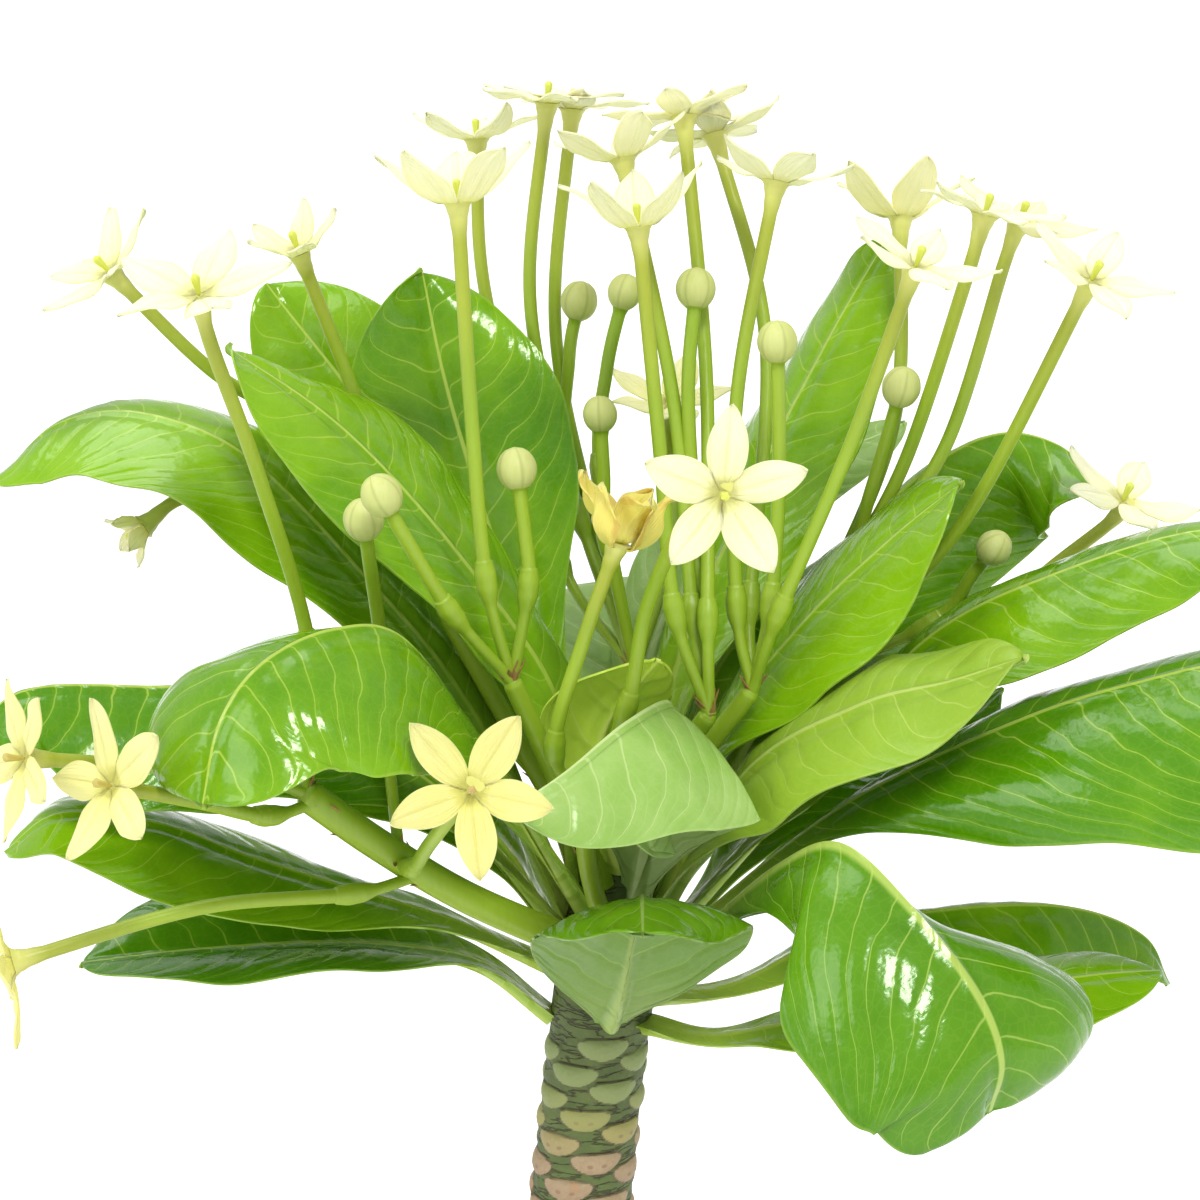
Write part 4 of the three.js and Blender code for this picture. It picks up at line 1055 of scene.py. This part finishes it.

# %% [markdown]
# ## Petal finish
#
# Petals are soft and waxy, cream where fresh and butter yellow where older, with a yellower foot.
# Faint creases run along them, and painted shade darkens these creases, the middle crease of each
# petal and its edges, where a yellowish outline also runs. A withered flower is golden with brown
# spots. A subsurface weight lets light into the petals, which keeps their shaded sides bright. The
# age is kept on the mesh, so that one material serves every flower.

# %% Petal material
cream, at = new_material("petal_cream")
v, u, age = attribute(at, PETAL_ATTRIBUTE)
crease_relief_and_shade = cloud(at.node("ShaderNodeCombineXYZ", None, {0: v * 9, 1: u * 1.5, 2: age * 7}), 1.0, 2)
soft = cloud(at, 120, 2)
_, under, _ = attribute(at, FACE_ATTRIBUTE)
PETAL_AGES = [
    (0.0, (0.94, 0.92, 0.66)), (0.45, (0.87, 0.84, 0.54)),
    (0.8, (0.76, 0.7, 0.28)), (1.0, (0.82, 0.64, 0.12)),
]
colour = age.node("ShaderNodeValToRGB", {"stops": PETAL_AGES}, {0: age + (soft - 0.5) * 0.12})
foot = ramp_down(u, 0.0, 0.26)
colour = tint(under * (0.08 + foot * 0.5), colour, (0.7, 0.69, 0.2))
colour = tint(ramp_down(u, 0.1, 0.8) * (0.1 + age * 0.35), colour, (0.76, 0.7, 0.16))
# The edges are darker. This is partly a yellowish outline of their own and partly painted shade.
colour = tint((1 - ramp_down(abs(v), 0.7, 1.0)) * 0.3, colour, (0.66, 0.6, 0.18))
colour = tint(foot * 0.75, colour, (0.62, 0.61, 0.06))
# Painted shade: the creases along each petal and its middle crease are darkened.
middle = ramp_down(abs(v), 0.0, 0.22) * ramp_down(u, 0.3, 0.95)
colour = tint(crease_relief_and_shade * 0.25 + middle * 0.15, colour, (0.62, 0.57, 0.16))
colour = tint((1 - ramp_down(u, 0.92, 1.0)) * 0.4, colour, (0.6, 0.62, 0.2))
brown = (1 - ramp_down(age, 0.92, 1.0)) * (1 - ramp_down(soft + abs(v) * 0.25, 0.66, 0.82))
colour = tint(brown * 0.5, colour, (0.4, 0.17, 0.03))
head = tint(ramp_down(age, 0.5, 0.85), (0.4, 0.3, 0.1), (0.52, 0.58, 0.1))
colour = tint(ramp_down(u, -0.6, -0.4), colour, head)
surface(at, {
    "Base Color": colour,
    "Roughness": 0.5 + crease_relief_and_shade * 0.15,
    "Subsurface Weight": 0.6,
    "Subsurface Radius": (1.0, 0.95, 0.6),
    "Subsurface Scale": 0.003,
    "Normal": bump(crease_relief_and_shade + soft * 0.6, 0.0006, 0.8),
})
print("petal finish ready")

# %% [markdown]
# ## The sprays
#
# Each spray has a turn and a seat on the crown, its stem's path, and a list of shoots. A shoot's path
# holds its calyx, the way of its tube and its mouth or bud, and from is the share of the stem where it
# branches off. lift is how many degrees the petals rise, spin turns the star about its tube, bud is a
# bud's size, and age runs from 0, fresh, to 1, withered. Stars with the same bloom touch each other.

# %% Spray list
SPRAYS = {
    "left_front": {"turn": 232, "seat": 324, "radius": 4.6,
        "path": [(-24, -24, 343), (-47, -37, 362), (-67, -46, 380)], "shoots": [
        {"from": 0.62, "path": [(-38, -44, 358), (-32, -64, 371), (-21, -90, 392), (-20, -98, 395)],
            "spin": -10, "age": 0.85},
        {"from": 0.5, "path": [(-54, -45, 351), (-93, -60, 352), (-141, -72, 341)], "age": 0.85},
        {"path": [(-77, -50, 384), (-103, -62, 391), (-134, -82, 399)], "age": 0.75},
        {"from": 0.95, "path": [(-75, -56, 376), (-90, -74, 385), (-110, -96, 396)], "age": 0.75},
        {"path": [(-66, -26, 414), (-76, -44, 463), (-86, -60, 501), (-88, -66, 515)], "lift": 18,
            "size": 1.1, "age": 0.3},
        {"from": 0.6, "path": [(-46, -20, 388), (-47, -21, 414), (-49, -33, 440), (-50, -36, 451)],
            "bud": 1},
    ]},
    "left_centre": {"turn": 245, "seat": 342, "radius": 2.8,
        "path": [(6, -15, 360), (-2, -27, 383), (-12, -34, 408)], "shoots": [
        {"path": [(-18, -36, 435), (-22, -30, 482), (-25, -26, 534)], "lift": 52, "size": 1.15, "spin": 20,
            "age": 0.3},
        {"path": [(-27, -44, 428), (-39, -52, 451), (-44, -54, 461)], "bud": 1},
        {"path": [(-7, -32, 432), (-8, -30, 447), (-10, -28, 463)], "bud": 1},
    ]},
    "left_back": {"turn": 152, "seat": 343, "radius": 2.8,
        "path": [(-9, 9, 375), (-26, 16, 404), (-39, 24, 427)], "shoots": [
        {"path": [(-51, 32, 456), (-60, 30, 482), (-71, 18, 516)], "lift": 46, "size": 0.72, "age": 0.4},
        {"path": [(-72, 36, 462), (-96, 24, 481), (-122, 10, 511)], "lift": 28, "age": 0.4},
        {"from": 0.25, "path": [(-36, 38, 392), (-88, 52, 434), (-107, 49, 440), (-120, 43, 432)],
            "lift": 66, "size": 0.55, "age": 0.5},
    ]},
    "front": {"turn": 262, "seat": 329, "radius": 2.8, "path": [(9, -22, 350), (7, -34, 374)], "shoots": [
        {"path": [(0, -46, 392), (8, -47, 422), (17, -46, 448)], "lift": 75, "age": 1},
        {"path": [(19, -44, 402), (24, -50, 430), (33, -68, 456), (41, -86, 468), (42, -94, 469)],
            "spin": 22, "age": 0.45},
    ]},
    "centre": {"turn": 303, "seat": 344, "radius": 2.8, "path": [(28, -14, 370), (42, -24, 396)],
        "shoots": [
        {"path": [(32, -22, 423), (28, -16, 466), (22, -10, 526)], "lift": 50, "size": 1.15, "spin": 18,
            "age": 0.2},
        {"path": [(37, -14, 421), (32, 4, 476), (18, 19, 541)], "lift": 38, "spin": 5, "age": 0.1},
        {"path": [(41, -20, 421), (41, 10, 483), (35, 34, 551)], "bloom": "top_pair", "spin": 41,
            "age": 0.05},
        {"path": [(39, -8, 430), (36, 2, 476), (38, 8, 506)], "bud": 1},
    ]},
    "right_centre": {"turn": 345, "seat": 346, "radius": 2.8, "path": [(38, -10, 376), (54, -18, 401)],
        "shoots": [
        {"path": [(49, -14, 423), (49, -2, 477), (60, 14, 535)], "lift": 22, "age": 0.05},
        {"path": [(60, -26, 424), (78, -32, 471), (93, -42, 519)], "lift": 16, "age": 0.15},
        {"path": [(53, -4, 422), (58, 24, 489), (44, 46, 545)], "bloom": "top_pair", "spin": 53,
            "age": 0.05},
        {"path": [(58, -18, 425), (60, -14, 457), (59, -16, 495)], "bud": 1},
    ]},
    "right": {"turn": 12, "seat": 330, "radius": 2.8, "path": [(42, 8, 358), (63, 14, 394)], "shoots": [
        {"path": [(77, 26, 419), (94, 22, 468), (96, 38, 523)], "lift": 48, "size": 1.1, "age": 0.5},
        {"path": [(82, 24, 425), (97, 18, 457), (110, -2, 509), (115, -2, 528)], "bloom": "right_pair",
            "age": 0.1},
        {"path": [(86, 20, 428), (108, 20, 460), (123, 20, 511), (127, 18, 524)], "bloom": "right_pair",
            "age": 0.5},
        {"path": [(92, 8, 418), (114, -4, 449), (140, -30, 514)], "lift": 18, "age": 0.2},
        {"path": [(80, 25, 421), (88, 20, 449), (95, 14, 478)], "bud": 1},
        {"path": [(103, 18, 392), (135, 24, 421), (155, 20, 439), (158, 18, 446)], "age": 0.3},
        {"path": [(104, 16, 410), (116, 12, 426), (121, 8, 434)], "bud": 0.9},
    ]},
    "back": {"turn": 70, "seat": 349, "radius": 2.8, "path": [(20, 18, 372), (22, 32, 394)], "shoots": [
        {"path": [(0, 60, 420), (-21, 74, 493), (-24, 80, 541)], "lift": 26, "spin": 12, "age": 0.1},
        {"path": [(6, 52, 434), (-8, 62, 493), (-3, 62, 553)], "bloom": "back_pair", "age": 0.1},
        {"path": [(11, 58, 427), (-1, 68, 486), (4, 75, 550)], "bloom": "back_pair", "spin": 62,
            "age": 0.05},
        {"path": [(32, 60, 419), (33, 80, 444), (32, 74, 464)], "lift": 24, "age": 0.6},
        {"path": [(3, 62, 444), (3, 64, 478), (6, 64, 495)], "bud": 1},
        {"path": [(12, 44, 449), (14, 46, 478), (19, 46, 500)], "bud": 0.9},
        {"path": [(14, 30, 432), (13, 28, 452), (12, 28, 468)], "bud": 0.9},
    ]},
}


print(sum(len(spray["shoots"]) for spray in SPRAYS.values()), "flowers and buds are listed")

# %% One stalk
def stalk(name, line, shoot):
    """The slim part, the calyx with its rim, and the tube to its mouth or bud."""
    calyx, length = line.knots[1], line.length
    size = shoot.get("bud", 0)
    slim = STALK["radius"]
    stations = [
        (0, slim), (4, STALK["foot"]), (calyx - 8, STALK["foot"]), (calyx - 2, STALK["calyx"] - 0.15),
        (calyx + 1, STALK["calyx"]), (calyx + 4.6, STALK["calyx"] - 0.5),
        (calyx + 5.1, STALK["foot"] + 0.35), (calyx + 12, slim),
    ]
    if size:
        stations += [(length, slim), (length + 4 * size, 0.4), (length + STALK["bud_top"] * size, 0.1)]
    else:
        end = length - STALK["short"]
        stations += [(end - 9, slim), (end - 4.5, slim * 1.25), (end - 1.3, STALK["mouth"] - 0.8),
                     (end, STALK["mouth"])]
    return tube(name, line, stations, size, 0 if size else 1)


# %% Stems and their scales
BRACTS = 2
THICK_STEM_SCALES = 7


def stem_parts(stem, thick, draw):
    """The stem of a spray with its small dry scales. A thin stem has only one of them."""
    ends = [(0, thick), (stem.length * 0.5, thick * 0.95), (stem.length - thick, thick * 0.95),
            (stem.length - 0.4 * thick, thick * 0.75), (stem.length, thick * 0.2)]
    parts = [tube("stem", stem, ends)]
    for scale in range(THICK_STEM_SCALES if thick > 4 else 1):
        share = np.array([0.12 + 0.8 * draw.random()])
        way, foot = stem.directions(share)[0], stem.points(share)[0]
        out = unit(np.cross(way, [draw.uniform(-1, 1) for _ in range(3)]))
        place = foot + out * thick * 0.86
        parts.append(bract(f"stem_scale_{scale}", place, way, out, draw.uniform(3, 5)))
    return parts


def branch_bracts(number, begin, way, draw):
    """The scales at the foot of one stalk."""
    parts = []
    for scale in range(BRACTS):
        out = unit(np.array([draw.uniform(-1, 1), draw.uniform(-1, 0.4), 0.1]))
        foot = begin + way * (1.5 + 2 * scale) + out * STALK["radius"]
        parts.append(bract(f"bract_{number}_{scale}", foot, way, out, draw.uniform(4, 7)))
    return parts


# %% Make the sprays and their flowers
flowers = {}
number = 0
for spray_name, spray in SPRAYS.items():
    stem = Line([seat_point(spray["turn"], spray["seat"], -1.0), *spray["path"]])
    draw = random.Random(spray_name)
    parts = stem_parts(stem, spray["radius"], draw)
    for index, shoot in enumerate(spray["shoots"]):
        number += 1
        begin = stem.dense[int(round((len(stem.dense) - 1) * 0.98 * shoot.get("from", 1)))]
        line = Line([begin, *shoot["path"]])
        parts.append(stalk(f"stalk_{number}", line, shoot))
        parts += branch_bracts(number, begin, line.directions(np.array([0.03]))[0], draw)
        if "bud" not in shoot:
            bloom = shoot.get("bloom", f"{spray_name}_{index + 1}")
            facing = line.directions(np.array([1.0]))[0]
            made = star(f"star_{number}", line.points(np.array([1.0]))[0], facing, shoot, number)
            flowers.setdefault(bloom, []).extend(made)
    spray_piece = join("stalks_" + spray_name, parts)
    dress(spray_piece, stalk_green, "stem", "spray_" + spray_name)

for bloom, parts in flowers.items():
    dress(join("flower_" + bloom, parts), cream, "petal", "bloom_" + bloom)
print(len(SPRAYS), "sprays and", len(flowers), "blooms")

# %% [markdown]
# ## Pot
#
# The pot is plain fired clay with a rim band, a flat foot and three drain holes. It is turned on a
# wheel in real life, and here it is pulled up the same way: a round base is extruded and widened in
# steps, then turned in over the rim and down the inside. A Bevel modifier softens its edges.

# %% Pot shape
POT = {"rim": 75, "foot": 52, "height": 132, "wall": 5, "floor": 7, "band": 24, "step": 3.5,
       "soft": 1.2}
DRAIN = {"radius": 4.5, "ring": 25, "count": 3, "first": 90}
POT_SIDES = 128


def pull(rise, ratio):
    """Extrudes the selected ring up by a rise in millimetres and then scales it about the axis."""
    bpy.ops.mesh.extrude_region_move(TRANSFORM_OT_translate={"value": (0, 0, rise * MM)})
    bpy.ops.transform.resize(value=(ratio, ratio, 1), center_override=(0, 0, 0))


bpy.ops.mesh.primitive_circle_add(vertices=POT_SIDES, radius=POT["foot"] * MM, fill_type="NGON")
clay_pot = bpy.context.object
clay_pot.name = "clay_pot"
bpy.ops.object.mode_set(mode="EDIT")
bpy.ops.mesh.select_all(action="SELECT")
bpy.ops.mesh.flip_normals()
band_foot = POT["height"] - POT["band"]
profile = [
    (POT["rim"] - POT["step"], band_foot), (POT["rim"], band_foot), (POT["rim"], POT["height"]),
    (POT["rim"] - POT["wall"], POT["height"]), (POT["foot"] - POT["wall"], POT["floor"]),
]
radius, level = POT["foot"], 0
for next_radius, next_level in profile:
    pull(next_level - level, next_radius / radius)
    radius, level = next_radius, next_level
bpy.ops.object.mode_set(mode="OBJECT")
print("pot pulled up to", round(max(v.co.z for v in clay_pot.data.vertices) / MM), "mm")

# %% Drain holes and soft edges
for index in range(DRAIN["count"]):
    turn = math.radians(DRAIN["first"] + 360 * index / DRAIN["count"])
    place = (DRAIN["ring"] * MM * math.cos(turn), DRAIN["ring"] * MM * math.sin(turn), 0)
    size = {"radius": DRAIN["radius"] * MM, "depth": 4 * POT["floor"] * MM}
    bpy.ops.mesh.primitive_cylinder_add(vertices=32, location=place, **size)
    drill = bpy.context.object
    modify(clay_pot, "BOOLEAN", operation="DIFFERENCE", object=drill, solver="EXACT")
    bpy.data.objects.remove(drill)
modify(clay_pot, "BEVEL", width=POT["soft"] * MM, segments=3, limit_method="ANGLE",
       angle_limit=math.radians(40))
print("pot:", len(clay_pot.data.polygons), "faces")

# %% [markdown]
# ## Clay finish
#
# Fired clay is matt and speckled, with faint rings from the wheel and a whitish bloom of lime low on
# the wall, where water dries. Rings and lime read Object coordinates.

# %% Clay
clay, at = new_material("terracotta")
z = at.node("ShaderNodeSeparateXYZ", None, {0: at}, out=2)
grain = cloud(at, 900, 3)
patches = cloud(at, 22, 4)
rings = cloud(at.node("ShaderNodeCombineXYZ", None, {0: z * 420, 1: patches * 0.6}), 1.0, 2)
colour = tint(patches, (0.36, 0.12, 0.05), (0.56, 0.24, 0.12))
colour = tint(grain * 0.4, colour, (0.62, 0.33, 0.18))
lime = ramp_down(z, 0.012, 0.07) * (1 - ramp_down(patches, 0.42, 0.62))
colour = tint(lime * 0.6, colour, (0.72, 0.62, 0.52))
surface(at, {
    "Base Color": colour,
    "Roughness": 0.78 + grain * 0.15,
    "Normal": bump(grain * 0.5 + rings, 0.0005, 0.5),
})
dress(clay_pot, clay, "terracotta", "pot")
print("clay ready")

# %% [markdown]
# ## Soil
#
# Potting soil is a crumbly bed with grains of pale grit. The bed is a grid bent into a disc with a
# hole for the trunk's foot, and Solidify gives it its depth. Crumbs and grit are small icospheres,
# half sunk in the bed, each stretched and dented in its own way. A particle system would scatter
# them too, but it would be lost on export.

# %% Soil bed
SOIL_EDGE = 66.4
SOIL_HOLE = 31
SOIL_DEPTH = 6
BED_SIDES = 150
BED_RINGS = 40

bed, x, share = new_grid("potting_soil", BED_SIDES, BED_RINGS)
angle = math.pi * x
radius = SOIL_HOLE - 1 + (SOIL_EDGE + 0.6 - SOIL_HOLE + 1) * share
flat = np.stack([radius * np.cos(angle), radius * np.sin(angle), np.zeros_like(radius)], -1)
lumps = wander(flat, 0.11) * 1.0 + wander(flat, 0.45, 3) * 0.7 + wander(flat, 1.3, 5) * 0.35
flat[:, 2] = SOIL_TOP - 1.6 + lumps - 1.5 * smooth(0.85, 1, share) + 1.0 * smooth(0.2, 0, share)
place_vertices(bed, flat)
close_seams(bed)
modify(bed, "SOLIDIFY", thickness=SOIL_DEPTH * MM, offset=-1)
note(bed, "grain", 0, 0, 0)
print("soil bed:", len(bed.data.polygons), "faces")

# %% Crumbs and grit
CRUMBS = 260
GRIT_EVERY = 6
GRIT_SIZE = (0.8, 1.5)
CRUMB_SIZE = (1.0, 2.6)
CRUMB_STRETCH = (0.7, 1.25)
CRUMB_DENTS = 0.28

draw = random.Random(5)
parts = [bed]
for index in range(CRUMBS):
    grit = index % GRIT_EVERY == 0
    size = draw.uniform(*(GRIT_SIZE if grit else CRUMB_SIZE))
    turn = draw.uniform(0, 2 * math.pi)
    ring = SOIL_HOLE + 3 + (SOIL_EDGE - SOIL_HOLE - 6) * math.sqrt(draw.random())
    place = Vector((ring * math.cos(turn), ring * math.sin(turn), SOIL_TOP - 1.2)) * MM
    bpy.ops.mesh.primitive_ico_sphere_add(subdivisions=2, radius=size * MM)
    crumb = bpy.context.object
    stretch = Vector([draw.uniform(*CRUMB_STRETCH) for _ in range(3)])
    for vertex in crumb.data.vertices:
        dent = 1 + CRUMB_DENTS * noise.noise(vertex.co * 900 + Vector((index, 0, 0)))
        vertex.co = vertex.co * stretch * dent + place
    note(crumb, "grain", 1 if grit else 0, draw.random(), 0)
    parts.append(crumb)
soil = join("potting_soil", parts)
print("soil:", len(soil.data.polygons), "faces")

# %% Soil finish
earth, at = new_material("earth")
is_grit, tone, _ = attribute(at, "grain")
crumbly = cloud(at, 700, 4, 0.7)
patches = cloud(at, 90, 3)
colour = tint(crumbly, (0.018, 0.010, 0.006), (0.11, 0.065, 0.038))
colour = tint(patches * 0.4 + tone * 0.25, colour, (0.06, 0.04, 0.025))
colour = tint(is_grit, colour, tint(crumbly, (0.42, 0.38, 0.32), (0.7, 0.66, 0.6)))
surface(at, {"Base Color": colour, "Roughness": 0.95, "Normal": bump(crumbly, 0.0012)})
dress(soil, earth, "soil", "soil")
print("soil finish ready")

# %% Sizes and finish
boxes = {"cad": [list(corner) for corner in cad_box], "visual": [list(corner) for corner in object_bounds()]}
for name, (low, high) in boxes.items():
    print(name, [round(a / MM, 1) for a in low], [round(b / MM, 1) for b in high])
